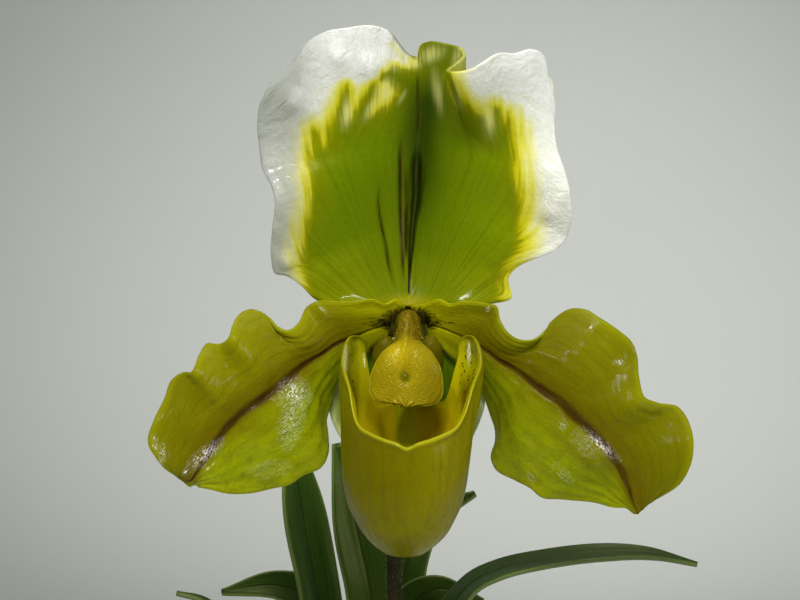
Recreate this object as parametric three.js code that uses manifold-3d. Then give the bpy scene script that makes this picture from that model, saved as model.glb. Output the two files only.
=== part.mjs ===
// Slipper orchid (Paphiopedilum) in bloom, potted. Millimetres, +Z up, origin at the centre of the
// pot's underside; the bloom faces -Y.
import * as THREE from 'three';
import { mergeVertices } from 'three/addons/utils/BufferGeometryUtils.js';
import Module from 'manifold-3d';

const wasm = await Module();
wasm.setup();

// ---- driving dimensions ----
const GAP = 0.3;                  // left between neighbouring solids
const POT = { height: 95, rim: 55, foot: 40, wall: 4, band: 16, proud: 2.5, hole: 5, holesAt: 22, sides: 36 };
const MIX_TOP = 84;               // level of the bark mix
const CHIPS = 46;                 // pieces of bark lying on the mix
const PLANT_Y = -15;              // the plant's own frame, set forward from the pot's axis
const CROWNS = [
  { name: 'crown_1', at: [-2.6, 12, 84], radii: [11, 7, 10.5] },
  { name: 'crown_2', at: [-2.8, 36, 84], radii: [9.5, 6.5, 10] },
];
const TEPAL = 0.75;               // thickness of sepals and petals
const LEAF = 1.1;                 // thickness of a leaf
const COLLAR = 1.8;               // thickness of the old sheaths round a growth
const POUCH_WALL = 0.9;
const SHIELD = 1.1;               // thickness of the staminode
const RECEPTACLE = [1.6, -9.5, 284.9];   // end of the ovary, where the bloom's parts meet
const FINEST = 0.02;              // details smaller than this are dropped from cut solids
const SEED = 4139;

// ---- small tools ----
const toVector = ([x, y, z]) => new THREE.Vector3(x, y, z);
const degrees = THREE.MathUtils.degToRad;   // of a number of degrees, in radians
const fade = THREE.MathUtils.smoothstep;

function randomFrom(seed) {
  let state = seed;
  return () => {
    state = (state * 1664525 + 1013904223) % 4294967296;
    return state / 4294967296;
  };
}

// A smooth curve through the points, read by its length from 0 to 1.
function curve(points) {
  const line = new THREE.CatmullRomCurve3(points.map(toVector), false, 'centripetal');
  line.arcLengthDivisions = 400;
  return line;
}

// A smooth value through numbers spaced evenly from 0 to 1.
function profile(values) {
  const line = new THREE.CatmullRomCurve3(values.map((value, k) => new THREE.Vector3(k, value, 0)));
  line.curveType = 'catmullrom';
  return (t) => line.getPoint(THREE.MathUtils.clamp(t, 0, 1)).y;
}

// A smooth value through [place, value] pairs, level beyond both ends.
function table(pairs) {
  const last = pairs.length - 1;
  const slope = (k) => {
    const [x0, y0] = pairs[Math.max(0, k - 1)];
    const [x1, y1] = pairs[Math.min(last, k + 1)];
    return k === 0 || k === last ? 0 : (y1 - y0) / (x1 - x0);
  };
  return (x) => {
    if (x <= pairs[0][0] || x >= pairs[last][0]) {
      return x <= pairs[0][0] ? pairs[0][1] : pairs[last][1];
    }
    const k = pairs.findIndex(([place]) => place > x);
    const [x0, y0] = pairs[k - 1];
    const [x1, y1] = pairs[k];
    const [run, t] = [x1 - x0, (x - x0) / (x1 - x0)];
    const ease = t * t * (3 - 2 * t);
    return y0 + (y1 - y0) * ease
      + run * (slope(k - 1) * t * (1 - t) ** 2 - slope(k) * t * t * (1 - t));
  };
}

const steps = (count, from = 0, to = 1) =>
  Array.from({ length: count + 1 }, (_, k) => from + ((to - from) * k) / count);

function geometryFrom(points, faces) {
  const geometry = new THREE.BufferGeometry();
  geometry.setAttribute('position', new THREE.Float32BufferAttribute(points.flatMap((p) => p.toArray()), 3));
  geometry.setIndex(faces.flat());
  return outward(geometry);
}

// Turns the faces round if the closed surface is inside out.
function outward(geometry) {
  const position = geometry.attributes.position;
  const index = geometry.index.array;
  const corner = (k) => new THREE.Vector3().fromBufferAttribute(position, index[k]);
  let volume = 0;
  for (let k = 0; k < index.length; k += 3) {
    volume += corner(k).dot(corner(k + 1).cross(corner(k + 2)));
  }
  if (volume < 0) {
    for (let k = 0; k < index.length; k += 3) {
      [index[k], index[k + 1]] = [index[k + 1], index[k]];
    }
  }
  return geometry;
}

function normalOf(surface, u, v, step = 1e-3) {
  const across = surface(u + step, v).sub(surface(u - step, v));
  const low = Math.max(0, v - step);
  const high = Math.min(1, v + step);
  const along = surface(u, high).sub(surface(u, low));
  return across.cross(along).normalize();
}

// A blade: the surface thickened evenly, with both faces split into triangles alike.
function blade(surface, us, vs, thickness) {
  const front = [];
  const back = [];
  for (const v of vs) {
    for (const u of us) {
      const half = normalOf(surface, u, v).multiplyScalar(thickness / 2);
      front.push(surface(u, v).add(half));
      back.push(surface(u, v).sub(half));
    }
  }
  const wide = us.length;
  const size = front.length;
  const faces = [];
  const quad = (a, b, c, d) => faces.push([a, b, c], [a, c, d]);
  for (let j = 0; j < vs.length - 1; j += 1) {
    for (let i = 0; i < wide - 1; i += 1) {
      const k = j * wide + i;
      const over = k + wide;
      quad(k, k + 1, over + 1, over);
      faces.push([size + k, size + over + 1, size + k + 1], [size + k, size + over, size + over + 1]);
    }
  }
  const rim = (a, b) => quad(b, a, size + a, size + b);
  for (let i = 0; i < wide - 1; i += 1) {
    rim(i, i + 1);
    rim(size - 1 - i, size - 2 - i);
  }
  for (let j = 0; j < vs.length - 1; j += 1) {
    rim((j + 1) * wide, j * wide);
    rim(j * wide + wide - 1, (j + 1) * wide + wide - 1);
  }
  return geometryFrom([...front, ...back], faces);
}

// A rod along a curve; radius(t, angle) gives its section, and both ends are closed.
function rod(points, radius, sides, count) {
  const line = curve(points);
  const frames = line.computeFrenetFrames(count, false);
  const ring = [];
  for (let j = 0; j <= count; j += 1) {
    const centre = line.getPointAt(j / count);
    for (let i = 0; i < sides; i += 1) {
      const angle = (2 * Math.PI * i) / sides;
      const r = radius(j / count, angle);
      ring.push(centre.clone()
        .addScaledVector(frames.normals[j], r * Math.cos(angle))
        .addScaledVector(frames.binormals[j], r * Math.sin(angle)));
    }
  }
  const faces = [];
  for (let j = 0; j < count; j += 1) {
    for (let i = 0; i < sides; i += 1) {
      const a = j * sides + i;
      const b = j * sides + ((i + 1) % sides);
      faces.push([a, b, b + sides], [a, b + sides, a + sides]);
    }
  }
  const last = count * sides;
  for (let i = 1; i < sides - 1; i += 1) {
    faces.push([0, i + 1, i], [last, last + i, last + i + 1]);
  }
  return geometryFrom(ring, faces);
}

function toSolid(geometry) {
  const plain = geometry.clone();
  plain.deleteAttribute('normal');
  plain.deleteAttribute('uv');
  const merged = mergeVertices(plain, 1e-4);
  return new wasm.Manifold(new wasm.Mesh({
    numProp: 3,
    vertProperties: new Float32Array(merged.attributes.position.array),
    triVerts: new Uint32Array(merged.index.array),
  }));
}

// The solid's geometry, without the loose scraps that a cut leaves.
function fromSolid(solid) {
  const whole = solid.decompose().reduce((a, b) => (a.volume() > b.volume() ? a : b));
  const mesh = whole.simplify(FINEST).getMesh();
  const geometry = new THREE.BufferGeometry();
  geometry.setAttribute('position', new THREE.Float32BufferAttribute(mesh.vertProperties, 3));
  geometry.setIndex([...mesh.triVerts]);
  return geometry;
}

function ellipsoid(at, radii, around = 16, down = 10) {
  const geometry = new THREE.SphereGeometry(1, around, down);
  geometry.scale(...radii);
  geometry.translate(...at);
  return geometry;
}

const joined = (geometries) => fromSolid(geometries.map(toSolid).reduce((all, next) => all.add(next)));

// ---- sepals and petals ----
// Margins and midribs, read from the base to the tip: [x, y, z] in the plant's frame.
const DORSAL = {
  mid: [
    [1.7, -10.5, 288.7], [2, -8.5, 296], [2.5, -7.5, 304.3], [2.7, -7.5, 310.5], [3.3, -9, 320.6],
    [3.8, -11, 328.6], [4, -13, 334.6], [3.8, -14, 339],
  ],
  left: [
    [-2.8, -10.5, 288.7], [-10, -9.5, 288.9], [-16.7, -8.5, 289.8], [-20.5, -8, 293.2],
    [-23.3, -7, 294.9], [-25.6, -6.5, 295.5], [-26.4, -8, 299.2], [-26, -10.5, 304.6],
    [-25.4, -12, 309.7], [-26.2, -11.5, 313.2], [-28, -9.5, 316.5], [-28.7, -8.5, 321],
    [-29.1, -10, 325.6], [-28.2, -13, 330], [-27.1, -14, 332.2], [-26.1, -14, 334],
  ],
  right: [
    [6.3, -10.5, 288.7], [13.2, -9.5, 288.9], [19.8, -9, 289.4], [22.7, -8.5, 290.4],
    [22.1, -8.5, 294.3], [23.7, -9, 296.5], [28.5, -9.5, 298.8], [31.8, -9, 300.2],
    [34.1, -9, 303], [35, -11, 307], [34.6, -13, 311], [33.6, -13, 315.5], [32.2, -11, 320],
    [31.5, -10.5, 325.6], [31.5, -12, 330.2], [30.6, -13.5, 333.7],
  ],
  topLeft: [
    [-26.1, -14, 334], [-23.7, -14, 336], [-20.8, -15, 339], [-18.3, -16.5, 342], [-14.7, -17.5, 344],
    [-10.4, -18, 344.7], [-6, -17.5, 345.2], [-2.4, -16, 344.3], [0, -14.5, 341.7], [1.8, -14, 339.7],
    [3.8, -14, 339],
  ],
  topRight: [
    [3.8, -14, 339], [4.2, -15, 341.3], [6, -16.5, 342.1], [9, -18, 341.5], [12, -20, 340.4],
    [12.6, -21.5, 338.7], [11, -22.5, 337.2], [9.3, -25, 335.6], [10.8, -27.5, 335],
    [13.8, -27, 335.6], [16.4, -25, 337.2], [19.5, -22.5, 339.2], [23, -20, 339.4],
    [26.3, -18, 340.4], [28.6, -16, 339.4], [29.7, -14.5, 336.5], [30.6, -13.5, 333.7],
  ],
};
const PETAL_LEFT = {
  upper: [
    [1.1, -12.2, 288.7], [-0.8, -13.8, 290.2], [-3, -15, 289.3], [-5.4, -17, 290.2],
    [-9.4, -19.5, 289.6], [-13, -20.5, 289.6],
    [-16.6, -19, 289.8], [-18.9, -18, 288.2], [-20.2, -20, 285.6], [-22.3, -23, 284],
    [-24.7, -22.5, 284.8], [-26.9, -18, 287], [-29.8, -17, 288.2], [-32, -19.5, 287.4],
    [-33.4, -23, 284.8], [-34, -24, 282.5], [-36.3, -21, 281.2], [-38.6, -20, 281.2],
    [-40, -23, 279.1], [-41.2, -25, 275.9], [-43.6, -22, 275.5], [-45.7, -21, 274],
    [-46.9, -23, 270.5], [-48.8, -25, 266.2], [-49.9, -26, 262.1], [-48.4, -26.5, 258.8],
    [-46.3, -26, 256.4], [-44, -25, 255.1],
  ],
  mid: [
    [-1.9, -11.6, 285.5], [-7.1, -15, 283.5], [-12.2, -18.5, 281.4], [-16, -20.5, 279],
    [-19.9, -22.5, 276.5], [-23.8, -24.5, 273.1], [-27.7, -25.5, 270.2], [-31.7, -26, 267.3],
    [-35.6, -26, 262.9], [-38.6, -25.5, 258.3], [-41, -25, 254.9], [-42.8, -24.5, 253.9],
  ],
  lower: [
    [-2.9, -11.6, 282.3], [-6.5, -12.3, 279.4], [-10, -13, 276.2], [-12.6, -14, 273],
    [-14, -15, 269.4], [-15.1, -16, 265.8], [-14.5, -17.5, 262.7], [-14.4, -19.5, 259.4],
    [-15.8, -20, 256.6], [-19.4, -20, 255], [-22.2, -21, 253.3], [-26, -20, 252.2],
    [-29.9, -21.5, 251.5], [-33.8, -24, 251.5], [-37.3, -25, 252.5], [-39.7, -24.5, 253.9],
    [-41.7, -24, 252.9],
  ],
};
const PETAL_RIGHT = {
  upper: [
    [2.1, -12.2, 288.7], [4.4, -13.6, 289.1], [7.9, -16.4, 290.2], [10, -17.8, 289.3], [12.4, -19.5, 289.8],
    [16, -20.5, 289.6], [19.4, -20, 288.8],
    [20, -20, 286.4], [21.5, -22.5, 283.6], [23.8, -24.5, 282.1], [26.4, -24.5, 281.9],
    [28.9, -21, 283.4], [31.5, -17.5, 286.6], [34.2, -17, 288.2], [37.3, -18.5, 288.2],
    [39.9, -21, 286.6], [43.5, -21.5, 284], [46.3, -21, 281.4], [47.3, -21, 278.4],
    [47.5, -24, 274.5], [48.5, -26, 270.8], [51.6, -24, 269.5], [55, -22, 268.9], [56.9, -23, 266.7],
    [58, -26, 262.7], [57.5, -27, 257.8], [55.4, -26, 253.6], [51.9, -25, 251.2],
    [48.8, -24.5, 249.7],
  ],
  mid: [
    [5.1, -11.6, 285.5], [10.5, -15, 283.5], [16, -18.5, 280.8], [20, -20.5, 278], [23.9, -22.5, 275.5],
    [27.8, -24.5, 272.5], [31.7, -25.5, 269.8], [34.6, -26, 266.9], [37.6, -26, 264.3],
    [40.6, -26, 260.9], [44.4, -25.5, 255], [46, -25, 250.4], [47.2, -24.5, 247.6],
  ],
  lower: [
    [6.1, -11.6, 282.3], [9.7, -12.3, 279.4], [13.4, -13, 275.8], [16.2, -14, 272.6],
    [17.6, -15, 269.2], [19, -16, 264.8], [18.9, -17, 261.4], [18.2, -18.5, 258.5],
    [19.4, -19, 255.9], [23, -19.5, 254.2], [26, -20.5, 252.6], [28.3, -21.5, 250.7],
    [32.3, -21, 250.1], [37.9, -22, 249.9], [42.1, -24, 248.9], [44.8, -24.5, 248.7],
    [46.1, -24, 247.9],
  ],
};
const SYNSEPAL = {
  upper: [
    [-1.6, -10.6, 282.3], [-5.7, -10.2, 281.5], [-10, -11, 278], [-13, -12, 273], [-14.4, -13, 268.4],
    [-13.1, -15, 264.2], [-10.1, -16, 259.4], [-5.6, -17, 253.8], [-0.5, -17, 250],
  ],
  mid: [[1.6, -10.6, 282.3], [1.4, -11.5, 276], [1.4, -13, 269], [1.4, -15.5, 259.5], [1.4, -17, 249.6]],
  lower: [
    [4.9, -10.6, 282.3], [9, -10.2, 281.5], [13, -11, 278], [16, -12, 273.5], [17.2, -13, 269.8],
    [15.7, -15, 264.8], [12.7, -16, 259.4], [8.4, -17, 253.8], [3.3, -17, 250],
  ],
};
const STAMINODE = {
  upper: [
    [0.8, -25.2, 287.2], [0, -27.2, 284.5], [-1.8, -29, 281.7], [-3.3, -29.5, 279.8],
    [-4.9, -30.2, 277.2], [-5.9, -30.7, 274.3], [-5.9, -31.2, 271.7], [-4.9, -31.8, 270.2],
    [-2.4, -32.4, 269.6], [-0.2, -32.8, 269.8],
  ],
  mid: [
    [1.8, -25.2, 287.2], [1.7, -28.1, 284.5], [1.3, -30.4, 281.2], [1, -31.5, 278], [1, -32.1, 274.8],
    [0.9, -32.6, 271.7], [0.9, -33, 269],
  ],
  lower: [
    [2.8, -25.2, 287.2], [3.7, -27.2, 284.5], [5.1, -29, 281.3], [6.7, -29.5, 278.8],
    [7.9, -30.2, 276.6], [8.4, -30.7, 273.9], [8.4, -31.2, 271.7], [7.5, -31.8, 269.9], [4.7, -32.6, 269.2],
    [2, -32.8, 269.4],
  ],
};

// The surface between two margins and a midrib. The margins' waves die away towards the midrib,
// and each half of the blade bows forward by `bow`.
function tepal({ upper, mid, lower }, bow) {
  const margins = [curve(upper), curve(lower)];
  const rib = curve(mid);
  return (u, v) => {
    const reach = Math.min(1, Math.abs(u));
    const centre = rib.getPointAt(v);
    const edge = (u < 0 ? margins[0] : margins[1]).getPointAt(v);
    const point = centre.clone().lerp(edge, reach);
    point.y = THREE.MathUtils.lerp(centre.y, edge.y, reach ** 1.8);
    point.y -= bow * Math.sin(Math.PI * reach) * Math.sin(Math.PI * Math.min(1, v * 1.15));
    return point;
  };
}

// The dorsal sepal: as above, with its crumpled top margin blended in over the last fifth.
function dorsalSurface() {
  const bow = 1.6;
  const groove = 1.4;
  const body = tepal({ upper: DORSAL.left, mid: DORSAL.mid, lower: DORSAL.right }, bow);
  const tops = [curve(DORSAL.topLeft), curve(DORSAL.topRight)];
  return (u, v) => {
    const side = THREE.MathUtils.clamp(u, -1, 1);
    const point = body(u, v);
    const top = side < 0 ? tops[0].getPointAt(1 + side) : tops[1].getPointAt(side);
    const shift = top.sub(body(side, 1)).multiplyScalar(fade(v, 0.68, 1) ** 1.2);
    point.add(shift);
    point.y += groove * Math.exp(-((u / 0.12) ** 2)) * Math.sin(Math.PI * Math.min(1, v * 1.1));
    return point;
  };
}

// ---- pouch ----
// Outline from the toe up: [z, half width, x of the middle, front y, back y].
const POUCH = [
  [240.1, 0, 0.9, -37.5, -37.5], [240.5, 2.7, 0.9, -40.5, -34.5], [241.5, 4.7, 0.9, -42.5, -32],
  [243.2, 6.8, 0.9, -44.5, -29.5], [245.1, 8.4, 0.9, -46, -27.5], [247.4, 9.6, 0.9, -47, -25.8],
  [250, 10.9, 0.9, -47.8, -24], [254, 12, 1, -48.4, -22.4], [260, 12.7, 1.2, -48.2, -21],
  [265, 13, 1.5, -47.5, -20.3], [270, 13.6, 2, -46.6, -19.6], [274, 14, 2.2, -45.8, -18.6],
  [277.5, 14.1, 2.4, -45.2, -16.6], [280.5, 13.3, 2.4, -44.8, -13.6], [283, 11.9, 2.3, -44.4, -11.6],
  [286, 9.8, 2.2, -44, -10],
];
// Height of the mouth's edge by the angle from the front, degrees: low lip, side lobes, low back
// with the narrow claw in its middle.
const LIP = [
  [0, 262], [9, 262.9], [20, 263.6], [34, 264.7], [44, 265.7], [50, 267.2], [54, 269.6], [57, 272.8],
  [62, 275], [69, 277.2], [77, 280.4], [86, 282.3], [97, 282.8], [108, 282.9], [119, 282.8],
  [128, 282], [135, 280.4], [140, 277.4], [144, 272.8], [149, 269.9], [160, 270], [165, 271.3],
  [168, 275], [170.5, 279.5], [173, 281.5], [180, 281.8],
];
const POUCH_ROWS = 12;

function pouchSurface() {
  const column = (k) => table(POUCH.map((row) => [row[0], row[k]]));
  const [halfWidth, middle, front, back] = [1, 2, 3, 4].map(column);
  const lip = table(LIP);
  const toe = POUCH[0][0];
  return (angle, t) => {
    const turn = ((angle + 540) % 360) - 180;
    const z = toe + (lip(Math.abs(turn)) - toe) * t ** 1.6;
    const half = (back(z) - front(z)) / 2;
    const a = degrees(angle);
    return new THREE.Vector3(
      middle(z) + halfWidth(z) * Math.sin(a), (back(z) + front(z)) / 2 - half * Math.cos(a), z);
  };
}

function pouch() {
  const surface = pouchSurface();
  const step = 0.4;               // degrees, for the slope round the pouch
  const angles = LIP.map(([angle]) => angle);
  const round = [...angles.slice(0, -1), ...angles.slice(1).reverse().map((angle) => 360 - angle)];
  const outer = [surface(0, 0)];
  const inner = [surface(0, 0).add(new THREE.Vector3(0, 0, POUCH_WALL))];
  for (const t of steps(POUCH_ROWS).slice(1)) {
    for (const angle of round) {
      const across = surface(angle + step, t).sub(surface(angle - step, t));
      const along = surface(angle, Math.min(1, t + 1e-3)).sub(surface(angle, t - 1e-3));
      const inward = along.cross(across).normalize();
      outer.push(surface(angle, t));
      inner.push(surface(angle, t).addScaledVector(inward, POUCH_WALL));
    }
  }
  const count = round.length;
  const size = outer.length;
  const faces = [];
  for (let i = 0; i < count; i += 1) {
    const next = (i + 1) % count;
    faces.push([0, 1 + next, 1 + i], [size, size + 1 + i, size + 1 + next]);
    for (let j = 0; j < POUCH_ROWS - 1; j += 1) {
      const [a, b] = [1 + j * count + i, 1 + j * count + next];
      const [c, d] = [b + count, a + count];
      faces.push([a, b, c], [a, c, d], [size + a, size + c, size + b], [size + a, size + d, size + c]);
    }
    const [a, b] = [1 + (POUCH_ROWS - 1) * count + i, 1 + (POUCH_ROWS - 1) * count + next];
    faces.push([a, b, size + b], [a, size + b, size + a]);
  }
  return geometryFrom([...outer, ...inner], faces);
}

// ---- column, ovary, bract, scape ----
const COLUMN = {                  // places from the receptacle
  stalk: [[0, -GAP, 0.2], [0, -6, 0.4], [0, -11, 0.4], [0, -14.7, 0.4]],
  stigma: [[0, -10.5, -0.4], [-0.2, -12, -4.4], [-0.3, -12.8, -7.8]],
  anthers: [[-4.4, -12.4, -6.6], [4.4, -12.4, -6.6]],
  antherRadii: [2.7, 1.6, 4.6],
};
const COLUMN_RADIUS = (t) => 2.1 + 0.6 * Math.sin(Math.PI * t);
const STIGMA_RADIUS = (t) => 1.9 + 1.7 * fade(t, 0.3, 1);

function column() {
  const fromBase = (place) => place.map((value, k) => value + RECEPTACLE[k]);
  const stalk = rod(COLUMN.stalk.map(fromBase), COLUMN_RADIUS, 12, 6);
  const stigma = rod(COLUMN.stigma.map(fromBase), STIGMA_RADIUS, 10, 4);
  const anthers = COLUMN.anthers.map((at) => ellipsoid(fromBase(at), COLUMN.antherRadii, 10, 8));
  return joined([stalk, stigma, ...anthers]);
}

const OVARY = [
  [-1.2, 5.6, 244], [-0.9, 6.6, 256], [0, 5.4, 269], [1, 1.4, 279.5], [1.6, -4, 284.6], RECEPTACLE,
];
const OVARY_RIBS = { count: 6, depth: 0.07 };
const OVARY_FLARE = 2.3;          // where the bloom's parts sit on it

function ovaryRadius(t, angle) {
  const round = 2.1 + 0.6 * Math.sin(Math.PI * t) + 1.1 * fade(t, 0.6, 1) + OVARY_FLARE * fade(t, 0.9, 1);
  return round * (1 + OVARY_RIBS.depth * Math.cos(OVARY_RIBS.count * angle));
}

const ovary = () => rod(OVARY, ovaryRadius, 2 * OVARY_RIBS.count, 20);

const SCAPE = [[1.2, 12, 84], [0.8, 11, 120], [-0.6, 8.5, 180], [-1.2, 5.6, 225], [-1.2, 5.6, 244 - GAP]];
const SCAPE_RADIUS = profile([1.8, 1.6, 1.45, 1.35, 1.5]);
const scape = () => rod(SCAPE, SCAPE_RADIUS, 10, 14);

// The bract stands on the scape's top and sheathes the ovary, open to the front.
const BRACT = { from: 0.05, to: 0.45, spread: 150, tip: 0.07, radius: 3.5, lean: 1.2, thickness: 0.6 };

function bractSurface() {
  const stem = curve(OVARY);
  const behind = degrees(90);
  return (u, v) => {
    const centre = stem.getPointAt(THREE.MathUtils.lerp(BRACT.from, BRACT.to, v));
    const spread = degrees(BRACT.spread) * THREE.MathUtils.lerp(1, BRACT.tip, fade(v, 0.15, 1));
    const angle = behind + u * spread;
    const radius = BRACT.radius + BRACT.lean * v;
    return centre.add(new THREE.Vector3(radius * Math.cos(angle), radius * Math.sin(angle), 0));
  };
}

// ---- leaves ----
// route: the keel from the base to the tip; facing: the upper face's direction along it;
// widths: spaced evenly along it; fold: degrees that each half is folded up, base to tip.
const LEAVES = {
  leaf_1: {
    route: [[-6, 12, 84], [-9, 13, 125], [-13, 19, 175], [-17.9, 27, 224], [-21, 29, 241], [-24, 30, 262]],
    facing: [[1, 0, 0.1], [1, -0.3, 0.2], [1, -0.7, 0.2], [0.5, -1, 0.2]],
    widths: [5.6, 8, 10.4, 12.4, 13.4, 13.8, 13.6, 13.2, 12.8, 11.6, 2],
    fold: [45, 35, 20, 14, 10],
  },
  leaf_2: {
    route: [
      [-3, 12, 84], [-4, 17, 125], [-4.5, 21, 175], [-6.3, 24, 225], [-8.6, 24.5, 237], [-13.8, 25, 259],
    ],
    facing: [[1, 0, 0.1], [0.8, -0.6, 0.2], [0.3, -1, 0.2], [0.1, -1, 0.2]],
    widths: [5.2, 6.8, 9, 11, 12.2, 12.8, 12.8, 12, 11.4, 10.8, 2],
    fold: [45, 35, 22, 16, 12],
  },
  leaf_3: {
    route: [
      [5.2, 12, 84], [7, 12, 130], [6.6, 11, 175], [7, 10, 205], [9.8, 8.5, 222], [15, 7, 230],
      [21, 6, 233.2], [30, 5, 235.4], [41.5, 4, 237], [52, 4, 237], [62, 4, 234.8],
    ],
    facing: [
      [-1, 0, 0.1], [-1, -0.2, 0.1], [-0.7, -0.5, 0.5], [-0.3, -0.45, 1], [0, -0.26, 1], [0.1, -0.3, 1],
    ],
    widths: [5.2, 7.4, 9.6, 11.4, 12.8, 13.6, 13.8, 13.2, 11.8, 8.4, 1.5],
    fold: [45, 35, 20, 6, 4, 4],
  },
  leaf_4: {
    route: [
      [-8.6, 36, 84], [-13, 36, 130], [-16, 36, 175], [-18, 35, 207], [-19.5, 33, 223.5], [-27, 30, 227.5],
      [-38.7, 27, 226.5],
    ],
    facing: [[1, 0, 0.1], [1, -0.2, 0.2], [0.7, -0.6, 0.4], [0.1, -0.8, 0.6], [0, -0.8, 0.6]],
    widths: [5.4, 7.6, 9.8, 11.6, 12.8, 13.4, 13.6, 13.2, 12, 9, 1.5],
    fold: [45, 35, 22, 12, 8],
  },
  leaf_5: {
    route: [
      [-4.6, 36, 84], [-4, 40, 130], [-3, 44, 180], [-0.8, 47, 215], [1.9, 48.5, 232], [7.5, 49.5, 241.5],
      [17, 50, 246.4],
    ],
    facing: [[1, 0, 0.1], [0.8, -0.6, 0.1], [0.2, -1, 0.2], [0, -1, 0.3], [0, -1, 0.4]],
    widths: [5.2, 7.4, 9.4, 11, 12.2, 12.8, 12.8, 12.2, 11, 8.5, 1.5],
    fold: [45, 35, 22, 12, 8],
  },
  leaf_6: {
    route: [
      [-9, 12, 84], [-14, 11.5, 125], [-20, 10.5, 165], [-27, 10, 200], [-34, 9, 219], [-41, 8.5, 226.5],
      [-47, 8, 228.4],
    ],
    facing: [[1, 0, 0.1], [1, 0, 0.3], [1, -0.1, 0.6], [0.4, -0.2, 1], [0.1, -0.25, 1]],
    widths: [5.4, 7.4, 9.4, 11, 12, 12.2, 11.6, 10.2, 8.2, 5.4, 1.3],
    fold: [45, 35, 20, 10, 6],
  },
  leaf_7: {
    route: [
      [2.6, 36, 84], [5, 34.5, 130], [4, 34.5, 180], [0.6, 35, 209], [2.2, 35, 222.5], [8, 34, 226.4],
      [18.3, 33, 223.8],
    ],
    facing: [[-1, 0, 0.1], [-1, -0.4, 0.1], [-0.3, -1, 0.2], [0.1, -1, 0.4], [0.1, -1, 0.5]],
    widths: [5.4, 7.4, 9.4, 11.2, 12.4, 12.8, 12.8, 12.2, 11, 8.4, 1.5],
    fold: [45, 35, 22, 12, 8],
  },
};

const KEEL = 0.02;

function leafSurface({ route, facing, widths, fold }) {
  const keel = curve(route);
  const face = [0, 1, 2].map((k) => profile(facing.map((direction) => direction[k])));
  const width = profile(widths);
  const rise = profile(fold);
  return (u, v) => {
    const along = keel.getTangentAt(v);
    const up = new THREE.Vector3(...face.map((part) => part(v)));
    up.addScaledVector(along, -up.dot(along)).normalize();
    const side = along.clone().cross(up);
    const half = width(v) / 2;
    const angle = degrees(rise(v));
    // the keel is rounded, so that the two halves don't meet in a knife edge
    const lift = Math.sqrt(u * u + KEEL) - Math.sqrt(KEEL);
    return keel.getPointAt(v)
      .addScaledVector(side, u * half * Math.cos(angle))
      .addScaledVector(up, lift * half * Math.sin(angle));
  };
}

const LEAF_ACROSS = [-1, -0.6, -0.25, 0, 0.25, 0.6, 1];
const LEAF_STEPS = 17;
const leafBlade = (spec) => blade(leafSurface(spec), LEAF_ACROSS, steps(LEAF_STEPS), LEAF);

// ---- crowns, bark mix, pot ----
// An upright oval bar from the height z up.
function ovalBar([x, y], [rx, ry], z, length) {
  const bar = new THREE.CylinderGeometry(1, 1, length, 20);
  bar.rotateX(Math.PI / 2);
  bar.scale(rx, ry, 1);
  bar.translate(x, y, z + length / 2);
  return bar;
}

// A growth: a rounded base half sunk in the mix, with a collar of old sheaths round the leaves.
function crown({ at, radii }) {
  const bowl = radii.slice(0, 2).map((r) => r - COLLAR);
  const well = ovalBar(at, bowl, at[2] - GAP, 2 * radii[2]);
  return fromSolid(toSolid(ellipsoid(at, radii, 20, 8)).subtract(toSolid(well)));
}

// Radius of the pot's inner face at a height.
const inside = (z) => THREE.MathUtils.lerp(POT.foot, POT.rim - POT.proud, z / POT.height) - POT.wall;

function pot() {
  const { height, rim, foot, wall, band, proud, hole, holesAt } = POT;
  const bandFoot = height - band;
  const body = (z) => inside(z) + wall;
  const section = [
    [0, 0], [foot - 1.5, 0], [foot, 1.5], [body(bandFoot), bandFoot], [rim - 0.8, bandFoot + 0.6],
    [rim, bandFoot + 1.8], [rim, height - 1.5], [rim - 1.5, height], [inside(height) + 1.2, height],
    [inside(height), height - 1.2], [inside(wall), wall], [0, wall],
  ];
  const shell = new THREE.LatheGeometry(section.map(([r, z]) => new THREE.Vector2(r, z)), POT.sides);
  shell.rotateX(Math.PI / 2);
  let solid = toSolid(outward(mergeVertices(shell)));
  for (const k of [0, 1, 2]) {
    const drain = new THREE.CylinderGeometry(hole, hole, 4 * wall, 16);
    drain.rotateX(Math.PI / 2);
    const turn = degrees(120 * k + 30);
    drain.translate(holesAt * Math.cos(turn), holesAt * Math.sin(turn), 0);
    solid = solid.subtract(toSolid(drain));
  }
  return fromSolid(solid);
}

const CHIP = { fromWall: 10.5, sizes: [[11, 6], [8, 4], [3.6, 2]], tilt: 0.5, rise: 1.6 };
const GOLDEN_ANGLE = Math.PI * (3 - Math.sqrt(5));

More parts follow.
